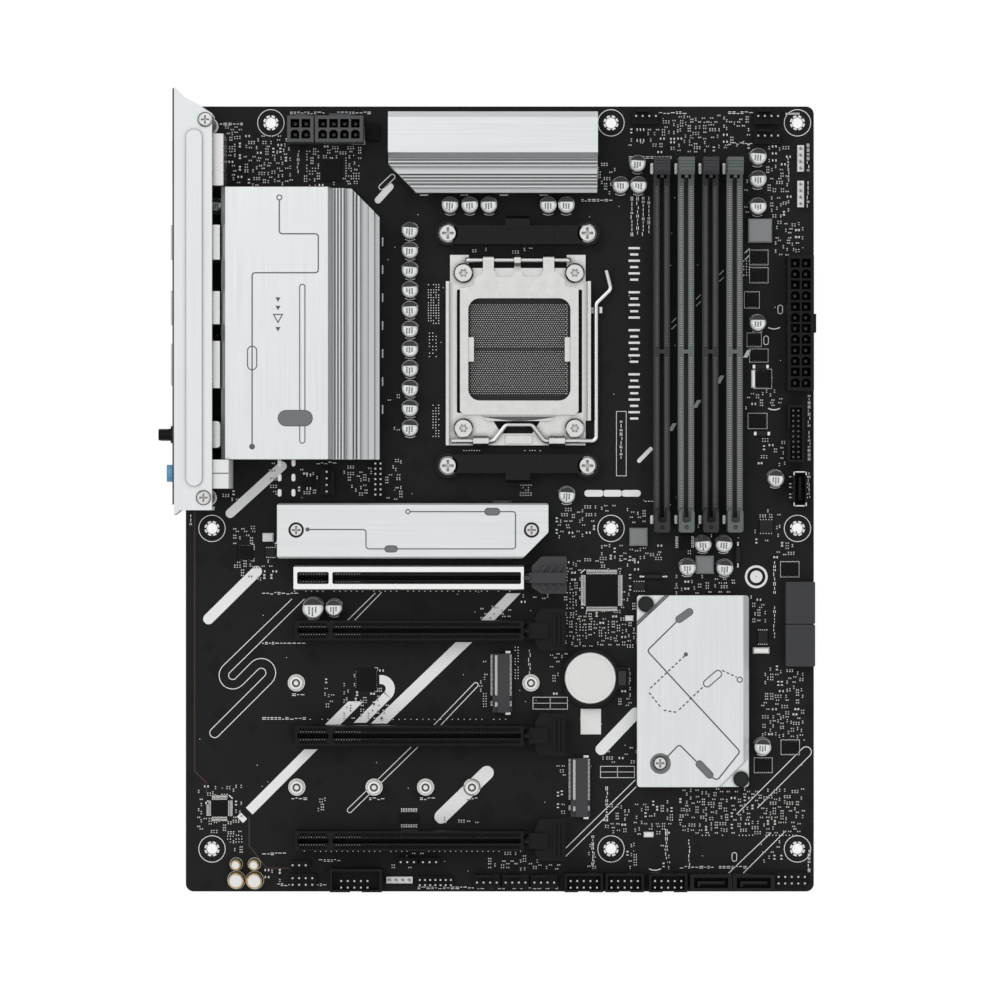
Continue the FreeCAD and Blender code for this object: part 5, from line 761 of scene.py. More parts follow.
def markings(ink):
    """Rows of dashes beside connectors and slots, each by its start and length."""
    for across, down, length in (
        (40.5, 2.5, 13.0), (58.8, 2.5, 13.0), (13.2, 6.8, 8.0), (29.6, 189.0, 14.0),
        (29.6, 208.4, 16.0), (29.6, 237.6, 16.0), (29.6, 290.2, 9.0), (41.2, 228.4, 4.6),
        (41.0, 268.8, 5.6), (71.2, 268.8, 4.6), (90.9, 268.8, 4.6), (109.0, 268.8, 4.6),
        (183.6, 2.4, 9.4), (210.6, 2.4, 8.4), (210.6, 14.4, 8.4), (153.6, 36.4, 11.6),
        (172.0, 19.8, 16.0), (50.8, 138.4, 8.0), (51.6, 292.8, 7.4), (35.6, 302.2, 7.0),
        (49.4, 302.2, 5.4), (90.0, 303.4, 22.0), (113.2, 303.4, 31.0), (191.8, 295.4, 12.4),
        (207.0, 295.4, 12.4), (178.2, 153.0, 4.0), (168.4, 176.0, 5.0),
    ):
        marking_row(ink, across, down, length, False)
    for across, down, length in (
        (242.0, 112.0, 12.0), (242.0, 126.0, 11.0), (242.0, 142.0, 10.0), (228.6, 176.6, 12.0),
        (228.6, 194.0, 12.0), (173.2, 35.0, 14.0), (175.4, 35.0, 14.0), (177.6, 35.0, 14.0),
        (179.8, 35.0, 14.0), (172.2, 218.0, 7.0), (133.4, 211.0, 14.0), (163.4, 264.0, 14.0),
        (158.0, 283.0, 11.0), (186.6, 280.6, 12.0), (195.6, 284.6, 10.0), (43.6, 17.0, 9.0),
        (1.9, 158.4, 4.0), (233.8, 19.6, 8.0), (241.6, 14.4, 10.0), (241.6, 29.0, 10.0),
        (242.0, 288.6, 8.0), (169.0, 122.0, 15.0),
    ):
        marking_row(ink, across, down, length, True)


def plain_badges(ink):
    """Plain geometric marks: a scale of ticks beside the memory, three bars and a ring."""
    pitch = 2.45
    for first, count in ((0, 6), (7, 5), (13, 6), (20, 8)):
        for i in range(count):
            down = 55.0 + (first + i) * pitch
            half = 1.6 if i % 2 else 2.2
            ink.ribbon([(174.1 - half, down), (174.1 + half, down)], 0.85, ends="flat")
    for i in range(3):
        across = 156.0 + 7.2 * i
        ink.ribbon([(across, 150.2), (across + 5.0, 150.2)], 2.6)
    ink.ring(221.5, 182.6, 4.0, 0.9)
    ink.ring(221.5, 182.6, 1.3, 2.2)


def printed_pattern():
    ink = Shapes()
    stripes(ink)
    line_pattern(ink)
    tick_marks(ink)
    markings(ink)
    plain_badges(ink)
    piece("printed_pattern", ink, [INK])


def covered_traces():
    """Long traces that show through the mask, and the sound section's border line."""
    traces = Shapes()
    copper, grey = range(2)
    top = INK_HIGH - 0.015
    traces.ribbon([(3.4, 157.0), (3.4, 258.0), (8.0, 262.6), (8.0, 266.4)], 0.6, high=top, ink=copper)
    traces.ribbon([(24.6, 276.0), (24.6, 287.0), (31.4, 295.8), (40.0, 295.8)], 0.6, high=top, ink=copper)

    def bundle(count, pitch, rounding, width, *corners):
        """Traces side by side; a corner is (across, its step, down, its step)."""
        for i in range(count):
            shift = i * pitch
            path = [(x + shift * a, y + shift * b) for x, a, y, b in corners]
            path = softened(path, rounding) if rounding else path
            traces.ribbon(path, width, high=top, ink=grey, ends="flat")

    bundle(14, 1.15, 1.0, 0.3, (158.4, 0.4, 62.0, 1), (166.0, 0.35, 69.6, 1), (182.0, 0, 69.6, 1.9))
    bundle(
        14, 1.15, 1.0, 0.3,
        (158.6, 0, 103.0, 0.7), (164.0, 0, 103.0, 0.7), (170.0, 0, 108.0, 1), (182.0, 0, 108.0, 1.5),
    )
    bundle(10, 2.0, 0, 0.28, (106.0, 1, 144.0, 0), (106.0, 1, 149.0, 0.15), (102.0, 1, 153.0, 0.15))
    bundle(
        9, 1.1, 1.2, 0.26,
        (150.0, 1, 240.0, 0), (150.0, 1, 252.0, 0), (158.0, 1, 262.0, 0), (158.0, 1, 286.0, 0),
    )
    bundle(
        9, 1.1, 1.2, 0.26,
        (218.8, 0, 214.0, 1), (224.0, 0, 214.0, 1), (231.0, 0, 207.0, 0.5), (232.4, 0, 207.0, 0.5),
    )
    piece("covered_traces", traces, [COPPER_TRACE, GREY_TRACE])


# ---- small surface parts
TIN_INK, BLACK_INK, CERAMIC_INK, WHITE_INK = range(4)
# length, width and height of the two sizes of part
SMALL = (0.84, 0.42, 0.34)
MEDIUM = (1.5, 0.76, 0.5)
# square millimetres of a patch for each rank of parts at a share of 1
ROOM_PER_RANK = 3.7


def surface_part(shapes, across, down, along, size, body):
    """One two-ended part: solder pads, bright ends and a coloured body."""
    length, width, high = size
    end = length * 0.24

    def bar(start, finish, half, low, top, ink, edge):
        run = [start, finish]
        deep = [-half, half]
        a, b, c, d = run + deep if along else deep + run
        shapes.block(across + a, across + b, down + c, down + d, low, top, ink, edge)

    half = width / 2
    for side in (-1, 1):
        inner = side * (length / 2 - end)
        bar(*sorted((inner, side * (length / 2 + 0.16))), half + 0.06, INK_LOW, 0.07, TIN_INK, 0.0)
        bar(*sorted((inner, side * length / 2)), half, 0.0, high, TIN_INK, 0.05)
    bar(end - length / 2, length / 2 - end, half - 0.02, 0.02, high - 0.02, body, 0.0)


def place_part(shapes, across, down, along, size, body):
    """Place a part if its patch of the board is free."""
    reach = size[0] / 2 + 0.2
    half = size[1] / 2 + 0.08
    spread = (reach, half) if along else (half, reach)
    if claim(across - spread[0], across + spread[0], down - spread[1], down + spread[1]):
        surface_part(shapes, across, down, along, size, body)


def parts_field(shapes, left, right, top, bottom, share):
    """Fill a patch with short ranks of small parts."""
    tries = int((right - left) * (bottom - top) * share / ROOM_PER_RANK)
    for _ in range(tries):
        along = random.random() < 0.5
        rank_along = random.random() < 0.5
        size = MEDIUM if random.random() < 0.14 else SMALL
        body = CERAMIC_INK if random.random() < 0.45 else BLACK_INK
        across = round(random.uniform(left, right) * 2) / 2
        down = round(random.uniform(top, bottom) * 2) / 2
        step = (size[0] + 0.75) if along == rank_along else (size[1] + 0.6)
        for i in range(random.choice((1, 2, 3, 3, 4, 5))):
            x = across + (step * i if rank_along else 0)
            y = down + (0 if rank_along else step * i)
            if x < right and y < bottom:
                place_part(shapes, x, y, along, size, body)


FIELDS = (
    # left, right, top, bottom, share of the patch to fill
    (15.5, 21.4, 8, 30, 1.3), (21.4, 41, 11.3, 31, 1.0), (46.4, 68, 15.6, 31, 0.8),
    (159.8, 167, 22, 34, 0.9), (111, 136, 54.8, 56.6, 0.7), (172.6, 183.4, 7.6, 15.4, 0.8),
    (183.4, 207.2, 3.6, 17.8, 1.1), (208, 219, 3.6, 16.6, 0.8), (225.6, 235, 15.4, 43, 1.2),
    (227.4, 240, 44, 58, 0.9), (216.8, 220, 28, 42, 0.5), (217.3, 232.2, 110, 117.4, 0.8),
    (222.6, 233.2, 128.7, 141, 0.7), (221, 231, 157, 169, 0.8), (228, 237, 169.7, 176, 0.7),
    (171.5, 180, 156, 162.5, 0.6), (160.8, 184.6, 170, 176, 0.8), (16.9, 35.4, 176, 183.7, 0.6),
    (4.3, 22, 263.7, 291, 0.6), (53.5, 57.3, 219.5, 233.3, 0.8), (61.5, 78.4, 218, 238, 0.6),
    (50.6, 54.4, 268.7, 274.6, 1.0), (30.4, 37, 296, 301.6, 0.6), (147, 176.3, 176, 210, 0.65),
    (142, 148, 211.4, 228.3, 0.9), (114.3, 127, 194, 200.5, 0.8), (130.3, 141.2, 188.7, 192.5, 0.8),
    (161.5, 176.3, 248.5, 255.2, 0.7), (161.5, 172.4, 271, 282.2, 0.8), (116, 145.5, 289.7, 296.5, 0.8),
    (155.6, 159.8, 287, 296.5, 0.9), (114.3, 116.9, 212.4, 227, 0.8), (144.4, 147.1, 253.6, 275.4, 0.8),
    (190.3, 213, 182, 189.2, 0.8), (218.9, 225.6, 188.7, 200.5, 0.9), (224, 240, 218.2, 245, 1.3),
    (192, 240, 264.8, 282.2, 1.25), (223, 231.5, 285.6, 293.2, 0.9), (174.3, 188.6, 269.6, 283, 0.8),
    (171, 175.1, 286.4, 295.7, 0.9), (183.5, 187.8, 286.4, 295.7, 0.9), (167.5, 173.4, 216.5, 233.3, 0.8),
    (31.6, 36.3, 138, 151.3, 0.7), (44, 52, 140.6, 151.6, 0.5), (61.3, 75, 140, 151.3, 0.7),
    (77.9, 84, 137.4, 153, 0.6), (12.6, 20.3, 149.6, 153.4, 0.8), (18.5, 26.8, 162.5, 176, 0.6),
    (78, 83.2, 112, 115, 0.7), (77.6, 83.2, 123, 126, 0.7), (144, 170, 154.6, 168, 0.5),
    (190, 205, 163, 174, 0.6), (80.4, 92.4, 289.4, 296, 0.6), (100, 114, 276, 283, 0.25),
)


def via(shapes, across, down, radius=0.24, ink=TIN_INK):
    """One plated hole, closed by solder."""
    if claim(across - radius, across + radius, down - radius, down + radius, 0.08):
        shapes.turn(across, down, [(radius, INK_LOW), (radius, 0.02), (radius * 0.6, 0.05)], ink, 6)


VIA_RANKS = (
    # left, right, top, bottom, pitch of each rank of vias
    (94.2, 98.4, 69.2, 84.6, 1.0), (94.6, 98.0, 88.0, 98.0, 1.3), (96.0, 99.0, 116.0, 129.0, 1.1),
    (62.2, 67.4, 17.0, 30.4, 1.0), (47.0, 51.6, 17.4, 30.6, 1.1), (186.0, 206.6, 6.2, 7.8, 0.9),
    (216.6, 218.8, 60.0, 66.0, 1.1), (148.0, 152.0, 178.0, 206.0, 1.2), (152.0, 171.0, 200.0, 206.0, 1.1),
    (115.6, 117.4, 228.0, 233.0, 1.0), (224.0, 226.4, 129.0, 137.0, 1.0), (14.0, 22.4, 283.4, 286.6, 1.1),
    (40.0, 126.0, 188.2, 188.6, 2.2), (46.0, 131.0, 289.2, 289.5, 2.1), (46.0, 128.0, 238.0, 238.3, 2.3),
    (182.6, 183.4, 30.0, 154.0, 1.9), (130.0, 134.0, 147.0, 151.0, 1.0), (104.0, 108.0, 160.6, 162.0, 1.2),
    (198.0, 238.0, 283.0, 284.0, 1.3), (232.0, 240.6, 246.0, 246.4, 0.9), (10.8, 14.0, 36.0, 40.0, 1.0),
    (126.8, 129.0, 210.0, 223.0, 1.1), (131.6, 139.0, 133.6, 134.2, 1.0), (108.0, 114.0, 133.6, 134.2, 1.0),
)


def vias(shapes):
    """Ranks of vias, then single ones scattered over the whole board."""
    for left, right, top, bottom, pitch in VIA_RANKS:
        for i in range(int((right - left) / pitch) + 1):
            for j in range(int((bottom - top) / pitch) + 1):
                if random.random() < 0.8:
                    via(shapes, left + i * pitch, top + j * pitch)
    for _ in range(420):
        via(shapes, random.uniform(3, WIDTH - 3), random.uniform(3, LENGTH - 3), 0.16, BLACK_INK)
    for _ in range(150):
        via(shapes, random.uniform(3, WIDTH - 3), random.uniform(3, LENGTH - 3), 0.2)


def larger_parts(shapes):
    """Crystals, diodes and lamps that are too large for the fields."""
    for left, right, top, bottom, high, ink in (
        (30.0, 33.8, 165.8, 168.8, 0.9, WHITE_INK),
        (170.8, 173.6, 197.8, 199.6, 0.8, WHITE_INK),
        (178.0, 181.4, 281.8, 283.6, 0.8, WHITE_INK),
        (220.4, 226.4, 210.2, 212.3, 1.4, TIN_INK),
        (219.8, 221.4, 102.5, 109.0, 0.5, TIN_INK),
        (222.0, 226.0, 203.4, 208.6, 1.1, BLACK_INK),
        (222.6, 228.0, 160.6, 165.6, 0.9, BLACK_INK),
        (173.6, 178.4, 184.6, 188.0, 0.9, BLACK_INK),
        (31.0, 35.0, 171.4, 174.9, 1.6, BLACK_INK),
    ):
        claim(left, right, top, bottom)
        shapes.block(left, right, top, bottom, 0.0, high, ink, min(0.2, high / 4))
        if ink != BLACK_INK:
            shapes.block(left - 0.2, right + 0.2, top - 0.15, bottom + 0.15, INK_LOW, 0.06)
            continue
        for i in range(5):
            across = left + (right - left) * (i + 0.5) / 5
            shapes.block(across - 0.2, across + 0.2, top - 0.35, bottom + 0.35, INK_LOW, 0.06)
    crystal(shapes, 181.5, 182.5, (3.5, 1.1), (3.2, 5.0), True)
    crystal(shapes, 214.3, 174.0, (1.1, 3.4), (3.1, 4.6), False)
    for across, down in ((223.2, 101.0), (223.7, 127.0)):
        claim(across - 3.4, across + 3.4, down - 1.3, down + 1.3)
        shapes.pad(across, down, 2.1, 1.1, 0.0, 1.6, BLACK_INK, 0.3)
        for side in (-1, 1):
            shapes.pad(across + side * 2.55, down, 0.65, 0.75, 0.0, 0.5, TIN_INK, 0.1)


def crystal(shapes, across, down, half, lead, along):
    """A part that lies between two bent leads; lead is where each starts and ends."""
    room = [size + 1.6 for size in half]
    claim(across - room[0], across + room[0], down - room[1], down + room[1])
    shapes.pad(across, down, *half, 0.1, 2.3, BLACK_INK, 0.5)
    near, far = lead
    for side in (-1, 1):
        bent = side * (near + far) / 2
        if along:
            shapes.pad(across + bent, down, (far - near) / 2, 0.35, 0.8, 1.5, TIN_INK, 0.15)
            foot = (across + side * far, down)
        else:
            shapes.pad(across, down + bent, 0.35, (far - near) / 2, 0.8, 1.5, TIN_INK, 0.15)
            foot = (across, down + side * far)
        shapes.turn(*foot, [(0.7, INK_LOW), (0.7, 0.1), (0.35, 1.5)], TIN_INK, 10)


def small_parts():
    shapes = Shapes()
    larger_parts(shapes)
    for field in FIELDS:
        parts_field(shapes, *field)
    vias(shapes)
    piece("surface_parts", shapes, [TIN, RESISTOR, CERAMIC, WHITE])


# ---- chips
CHIPS = solids("ic_packages")


def chip_at(across, down):
    """The box of the chip that covers a place."""
    return next(box for box in CHIPS if box.left < across < box.right and box.top < down < box.bottom)


def leads(shapes, box, sides, pitch, reach, width):
    """Bent leads along the named sides of a chip: out, down and along the board."""
    shoulder = box.high * 0.5
    steps = (
        (-0.05, reach * 0.42, shoulder - 0.12, shoulder),
        (reach * 0.34, reach * 0.5, 0.02, shoulder),
        (reach * 0.42, reach, INK_LOW, 0.14),
    )
    for side in sides:
        edge = {"l": box.left, "r": box.right, "t": box.top, "b": box.bottom}[side]
        start, end = (box.left, box.right) if side in "tb" else (box.top, box.bottom)
        count = int((end - start - 0.5) / pitch)
        for i in range(count):
            place = (start + end) / 2 + (i - (count - 1) / 2) * pitch
            for near, far, low, up in steps:
                way = -1 if side in "lt" else 1
                out = sorted((edge + way * near, edge + way * far))
                run = [place - width / 2, place + width / 2]
                shapes.block(*(run + out if side in "tb" else out + run), low, up)


def chip_details():
    """Leads, solder pads, printed corners and first-pin dimples of the chips."""
    metal = Shapes()
    ink = Shapes()
    dimples = Shapes()
    quads = [chip_at(160.0, 188.0), chip_at(12.0, 272.0)]
    leaded = quads[:]
    for box in quads:
        leads(metal, box, "lrtb", 0.4, 1.75, 0.24)
    for across, down, sides, pitch, reach in (
        (86.0, 276.0, "tb", 0.65, 1.4),
        (47.0, 146.0, "tb", 1.27, 1.1),
        (176.0, 11.0, "tb", 1.27, 1.1),
        (193.0, 169.0, "lr", 0.65, 1.1),
    ):
        box = chip_at(across, down)
        leaded.append(box)
        leads(metal, box, sides, pitch, reach, 0.42 if pitch > 1 else 0.3)
    under_heatsink = chip_at(190.0, 220.0)
    # the two chips by the processor plugs
    unmarked = (chip_at(56.0, 25.0), chip_at(72.0, 10.0))
    for box in CHIPS:
        left, right, top, bottom, _, high = box
        if box == under_heatsink:
            continue
        dimples.turn(left + 0.9, top + 0.9, [(0.35, high - 0.02), (0.35, high + 0.015)], 0, 10)
        if box in leaded or box in unmarked:
            continue
        leads(metal, box._replace(high=0.3), "tb" if right - left < 6.3 else "lr", 0.8, 0.24, 0.16)
        a, b, c, d = left - 0.5, right + 0.5, top - 0.5, bottom + 0.5
        if left > 190:
            ink.ribbon([(a, c), (b, c), (b, d), (a, d)], 0.18, closed=True)
            continue
        for y, way in ((c, 1.2), (d, -1.2)):
            ink.ribbon([(b - 1.2, y), (b, y), (b, y + way)], 0.2, ends="flat")
    first, second = quads
    corners = (
        [(first.left - 1.9, first.top - 0.4), (first.left - 0.2, first.top - 1.9)],
        [(second.right + 0.3, second.top - 1.8), (second.right + 1.8, second.top - 0.4)],
    )
    for path in corners:
        ink.ribbon(path, 0.4, ends="flat")
    piece("chip_leads", metal, [TIN])
    piece("chip_corner_marks", ink, [INK])
    piece("chip_dimples", dimples, [RESISTOR])


# ---- capacitors
def can_marks():
    """A dark segment and rows of small grey marks on each can, and printed arcs round it."""
    marks = Shapes()
    arcs = Shapes()
    chord = math.degrees(math.acos(0.36))
    for box in solids("capacitors"):
        across, down = box.middle()
        radius = (box.right - box.left) / 2
        tilt = random.uniform(-0.08, 0.08)
        turned = math.degrees(tilt) - 90
        outline = around(across, down, radius - 0.14, turned - chord, turned + chord, 14)
        marks.prism(outline, box.high - 0.4, box.high + 0.02)
        for column in (-0.36, -0.04, 0.28):
            place = random.uniform(-0.2, -0.1)
            while place < 0.56 - abs(column) * 0.5:
                run = random.uniform(0.12, 0.24)
                x = across + (column - tilt * place) * radius
                y = down + place * radius
                end = y + run * radius
                marks.block(x - 0.26, x + 0.26, y, end, box.high - 0.16, box.high - 0.1, 1)
                place += run + 0.05
        arcs.ring(across, down, radius + 0.55, 0.26, start=58, end=122)
        arcs.ring(across, down, radius + 0.35, 0.12, start=200, end=340)
    piece("can_marks", marks, [CAN_INK, GREY_INK])
    piece("can_arcs", arcs, [INK])
    tops = Shapes()
    for box in solids("audio_capacitors"):
        across, down = box.middle()
        radius = (box.right - box.left) / 2 - 0.62
        tops.turn(across, down, [(radius, box.high - 0.17), (radius, box.high - 0.06)], 0, 20)
        tops.ring(across, down, radius + 1.1, 0.2)
    piece("sound_can_tops", tops, [WHITE])


# ---- heatsink art
def etched(paths, height, pills=(), dots=(), rings=(), shift=(0.0, 0.0), line=0.46):
    """Thin dark lines, pills and dots on a heatsink's face."""
    shapes = Shapes()
    low = height - 0.02
    high = height + 0.03

    def moved(point):
        return (point[0] + shift[0], point[1] + shift[1])

    for path in paths:
        shapes.ribbon(softened([moved(p) for p in path], 1.3), line, low, high, ends="flat")
    for start, end, radius, filled in pills:
        outline = capsule(moved(start), moved(end), radius)
        cover = high
        if filled:
            cover += 0.045
            shapes.prism(outline, low, cover, 1)
        shapes.ribbon(outline, 0.3 if filled else line * 0.8, low, cover + 0.01, 0, closed=True)
    for across, down, radius in dots:
        shapes.turn(*moved((across, down)), [(radius, low), (radius, high)], 0, 16)
    for across, down, radius in rings:
        shapes.ring(*moved((across, down)), radius, 0.4, low, high)
    return shapes


def dashes(start, end, run=1.1, gap=0.8):
    """The pieces of a dashed line."""
    a = Vector(start)
    b = Vector(end)
    length = (b - a).length
    way = (b - a).normalized()
    place = 0.0
    parts = []
    while place < length:
        stop = min(length, place + run)
        parts.append([a + way * place, a + way * stop])
        place += run + gap
    return parts


def power_heatsink_art():
    high = solids("vrm_heatsink_left")[0].high
    layer = (high - 0.02, high + 0.03)
    art = etched(
        [[(37.6, 38.2), (37.6, 51.0), (52.5, 51.0), (52.5, 65.9), (27.2, 65.9), (27.2, 131.4)]],
        high,
        pills=(
            ((27.2, 95.7), (27.2, 101.3), 1.75, False),
            ((46.4, 71.3), (46.4, 130.1), 1.0, False),
            ((40.1, 121.5), (47.3, 121.5), 2.95, True),
        ),
        dots=((27.2, 132.4, 1.1),),
        rings=((37.6, 37.1, 0.95),),
    )
    for down, filled in ((76.1, True), (79.3, True), (83.2, False), (87.4, True)):
        half = 0.95 if filled else 1.7
        base = down - half * 0.8
        corners = [(37.1 - half, base), (37.1 + half, base), (37.1, down + half)]
        if filled:
            art.prism(corners, *layer)
        else:
            art.ribbon(corners, 0.4, *layer, closed=True)
    piece("power_heatsink_art", art, [ETCHED, ETCHED_GREY])


def drive_heatsink_art():
    line = [(48.3, 164.2), (70.2, 164.2), (70.2, 171.7), (128.0, 171.7), (128.0, 157.3), (87.2, 157.3)]
    art = etched(
        [line],
        solids("drive_heatsink")[0].high,
        pills=(
            ((117.4, 157.3), (120.6, 157.3), 1.3, True),
            ((78.7, 171.7), (81.1, 171.7), 1.2, True),
        ),
        rings=((86.4, 157.3, 0.8),),
        dots=((47.6, 164.2, 0.8),),
        line=0.4,
    )
    piece("drive_heatsink_art", art, [ETCHED, ETCHED_GREY], "drive_heatsink")


def chipset_heatsink_art():
    high = solids("chipset_heatsink")[0].high
    paths = [
        [(191.2, 199.6), (179.2, 211.4), (215.2, 250.4), (206.4, 261.4), (204.4, 260.4)],
        [(198.2, 254.2), (191.6, 247.6), (187.4, 252.0)],
        [(175.2, 200.5), (186.4, 190.0)],
        [(175.2, 201.6), (187.6, 190.0)],
    ]
    for start, end in (
        ((193.7, 213.4), (180.0, 226.3)),
        ((180.0, 227.6), (184.6, 233.4)),
        ((185.6, 234.4), (190.6, 235.2)),
        ((191.6, 234.2), (200.8, 225.4)),
        ((208.2, 219.0), (213.8, 221.6)),
    ):
        paths += dashes(start, end)
    art = etched(
        paths,
        high,
        pills=(
            ((191.6, 199.2), (195.6, 196.4), 1.3, True),
            ((203.4, 259.4), (199.4, 255.2), 1.3, True),
            ((202.4, 224.0), (206.6, 220.4), 1.4, False),
        ),
        dots=((194.2, 212.8, 0.8), (186.8, 252.6, 0.8)),
        rings=((215.0, 222.6, 1.0),),
        shift=(-0.35, -0.33),
        line=0.5,
    )
    art.ring(184.0, 254.7, 3.6, 0.9, high - 0.02, high + 0.02, 1)
    piece("chipset_heatsink_art", art, [ETCHED, ETCHED_GREY])


# ---- processor socket
def socket_field():
    """Two fields of small bent contacts, each leaning the same way out of its cell."""
    low_corner, high_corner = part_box("socket_contacts")
    left, bottom, floor = board_place(low_corner)
    right, top, _ = board_place(high_corner)
    centre = (top + bottom) / 2
    shapes = Shapes()
    pitch = 0.94
    row_pitch = pitch * 0.866
    seat = 2.0
    # each bay is (start, end, room left at its start, room left at its end)
    bays = ((top, centre - 0.6, 1.3, 0.1), (centre + 0.6, bottom, 0.35, 1.0))
    for start, end, before, after in bays:
        shapes.block(left, right, start, end, floor, floor + 0.12, 1)
        for row in range(int((end - start - before - after) / row_pitch) + 1):
            down = start + before + row * row_pitch
            across = left + 0.4 + (row % 2) * pitch / 2
            while across < right - 0.3:
                rings = []
                for x, y, height in ((across, down, 0.1), (across + 0.14, down - 0.3, 0.68)):
                    corners = ((-0.2, -0.12), (0.2, -0.12), (0.2, 0.22), (-0.2, 0.22))
                    rings.append([at(x + a, y + b, floor + height) for a, b in corners])
                shapes.stack(rings)
                across += pitch
            # one more contact on the seat's margin at each end of the row
            for x in (left - 0.5 + (row % 2) * 0.2, right + 0.3 + (row % 2) * 0.2):
                shapes.pad(x, down - 0.18, 0.2, 0.2, seat - 0.05, seat + 0.03)
    piece("socket_contact_field", shapes, [PALE_GOLD, SLOT_BLACK], replaces=["socket_contacts"])


def lip_shade():
    """Painted shade on the hollow side of the load plate's curled lip."""
    lip = Shapes()
    outline = [(115.4, 120.5), (143.4, 120.5)]
    for i in range(13):
        t = i / 12
        outline.insert(2, (115.4 + 28.0 * t, 120.65 + 1.5 * math.sin(math.pi * t)))
    top = 5.1
    lip.prism(outline, top - 0.02, top + 0.03)
    piece("lip_shade", lip, [ETCHED], "load_plate")


# ---- slots
# millimetres from one card slot to the next, and from one cell of a power plug to the next
CARD_PITCH = 20.32
PLUG_PITCH = 4.2


def ladders():
    """Rungs across the contact bays of the memory slots, with a contact in every gap."""
    pitch = 0.85
    high = 8.6
    for name, tone, slot in (
        ("memory_slots_dark", RUNG_BLACK, "black_plastic"),
        ("memory_slots_grey", RUNG_GREY, "grey_plastic"),
    ):
        rungs = Shapes()
        for box in solids(name):
            centre, _ = box.middle()
            for start, end in ((31.2, 93.45), (97.35, 155.6)):
                count = int((end - start) / pitch)
                for i in range(count):
                    down = start + (i + 0.5) * (end - start) / count
                    for side in (-1, 1):
                        rungs.pad(centre + side * 1.9, down, 0.52, 0.17, high - 2.3, high - 0.04)
                        rungs.pad(centre + side * 1.6, down + 0.41, 0.1, 0.09, high - 2.4, high - 1.9, 1)
        piece(name + "_rungs", rungs, [tone, PALE_GOLD])


def card_contacts():
    """Rungs and contact tips along the card slots, the first 24 mm of them bright."""
    rungs = Shapes()
    black, bright, grey = range(3)
    for box in solids("card_slots"):
        _, centre = box.middle()
        high = box.high
        start = box.left + 1.2
        for first, last in ((start, box.left + 12.6), (box.left + 15.0, box.left + 87.4)):
            count = int(last - first)
            for i in range(count):
                across = first + (i + 0.5) * (last - first) / count
                tone = bright if across < start + 24 else grey
                for side in (-1, 1):
                    rungs.pad(across, centre + side * 2.2, 0.24, 0.82, high - 1.9, high - 0.08, black)
                    tip = centre + side * 1.52
                    rungs.pad(across + 0.46, tip, 0.16, 0.1, high - 1.9, high - 0.5, tone)
    piece("card_slot_rungs", rungs, [BLACK, TIN, GREY_INK])


def memory_studs():
    """Bright anchor tabs at the ends of the memory slots and near the rear ports."""
    studs = Shapes()
    for i in range(4):
        across = 180.9 + 9.35 * i
        for start, end in ((22.6, 25.8), (159.2, 161.6)):
            studs.prism(capsule((across, start), (across, end), 0.55), INK_LOW, 0.9)
            studs.prism(capsule((across, start + 0.3), (across, end - 0.3), 0.3), 0.85, 1.3)
    for across in (36.4, 41.8):
        for down in (138.3, 144.1, 150.0):
            studs.prism(capsule((across, down - 0.7), (across, down + 0.7), 0.75), INK_LOW, 0.35)
            studs.prism(capsule((across + 0.1, down - 0.5), (across + 0.1, down + 0.5), 0.4), 0.3, 0.9)
    piece("anchor_tabs", studs, [TIN])


def drive_socket_details():
    """Contacts, solder feet and anchor tabs of each open drive socket."""
    metal = Shapes()
    pitch = 0.5
    seat = 2.0
    for box in solids("drive_sockets"):
        left, right, top, bottom, _, _ = box
        if top < 175:
            continue
        for start, end in ((top + 0.6, bottom - 6.5), (bottom - 4.1, bottom - 2.2)):
            metal.block(left + 0.95, left + 1.95, start, end, seat - 0.05, seat + 0.04, 1)
            for i in range(int((end - start) / pitch) + 1):
                down = start + i * pitch
                metal.pad(left - 0.375, down, 0.375, 0.12, INK_LOW, 0.2)
                metal.pad(right - 0.575, down, 0.375, 0.12, seat - 0.05, seat + 0.1)
        for down in (top - 0.5, bottom + 0.5):
            metal.pad(right - 1.6, down, 1.0, 0.5, INK_LOW, 0.3, 0, 0.05)
    piece("drive_socket_contacts", metal, [TIN, PALE_GOLD])


def drive_port_step_shade():
    """Painted shade for the keys and step lines on top of the two drive ports at the front edge."""
    relief = Shapes()
    for left, right, top, bottom, _, high in solids("sata_ports"):
        if left < 225:
            continue
        layer = (high - 0.02, high + 0.03)
        step = left + 4.9
        relief.block(left + 2.5, step, top + 1.0, top + 2.6, *layer)
        relief.block(left + 2.5, step, bottom - 2.1, bottom - 0.4, *layer)
        for down in (top + 1.1, bottom - 1.9):
            relief.block(step, right - 0.2, down - 0.12, down + 0.12, *layer)
        relief.block(left + 2.4, left + 2.6, top + 2.6, bottom - 2.1, *layer)
    piece("drive_port_step_shade", relief, [PANEL])


def front_header_rim():
    """The bright rim and solder feet of the upright metal front header."""
    rim = Shapes()
    upright = max(solids("front_usb_headers"), key=lambda box: box.top)
    left, right, top, bottom, _, high = upright
    layer = (high - 0.02, high + 0.03)
    for start, end in ((top + 0.25, top + 1.6), (bottom - 1.6, bottom - 0.25)):
        for x in (left + 0.35, right - 0.35):
            rim.block(x - 0.2, x + 0.2, start, end, *layer)
    for y in (top + 0.35, bottom - 0.35):
        rim.block(left + 0.9, right - 0.9, y - 0.22, y + 0.22, *layer)
    for i in (0, 2, 3, 5, 6):
        y = top + 2.2 + i * (bottom - top - 4.4) / 7
        for x in (left - 0.5, right + 0.5):
            rim.pad(x, y, 0.4, 0.22, INK_LOW, 0.12)
    piece("front_header_rim", rim, [TIN])


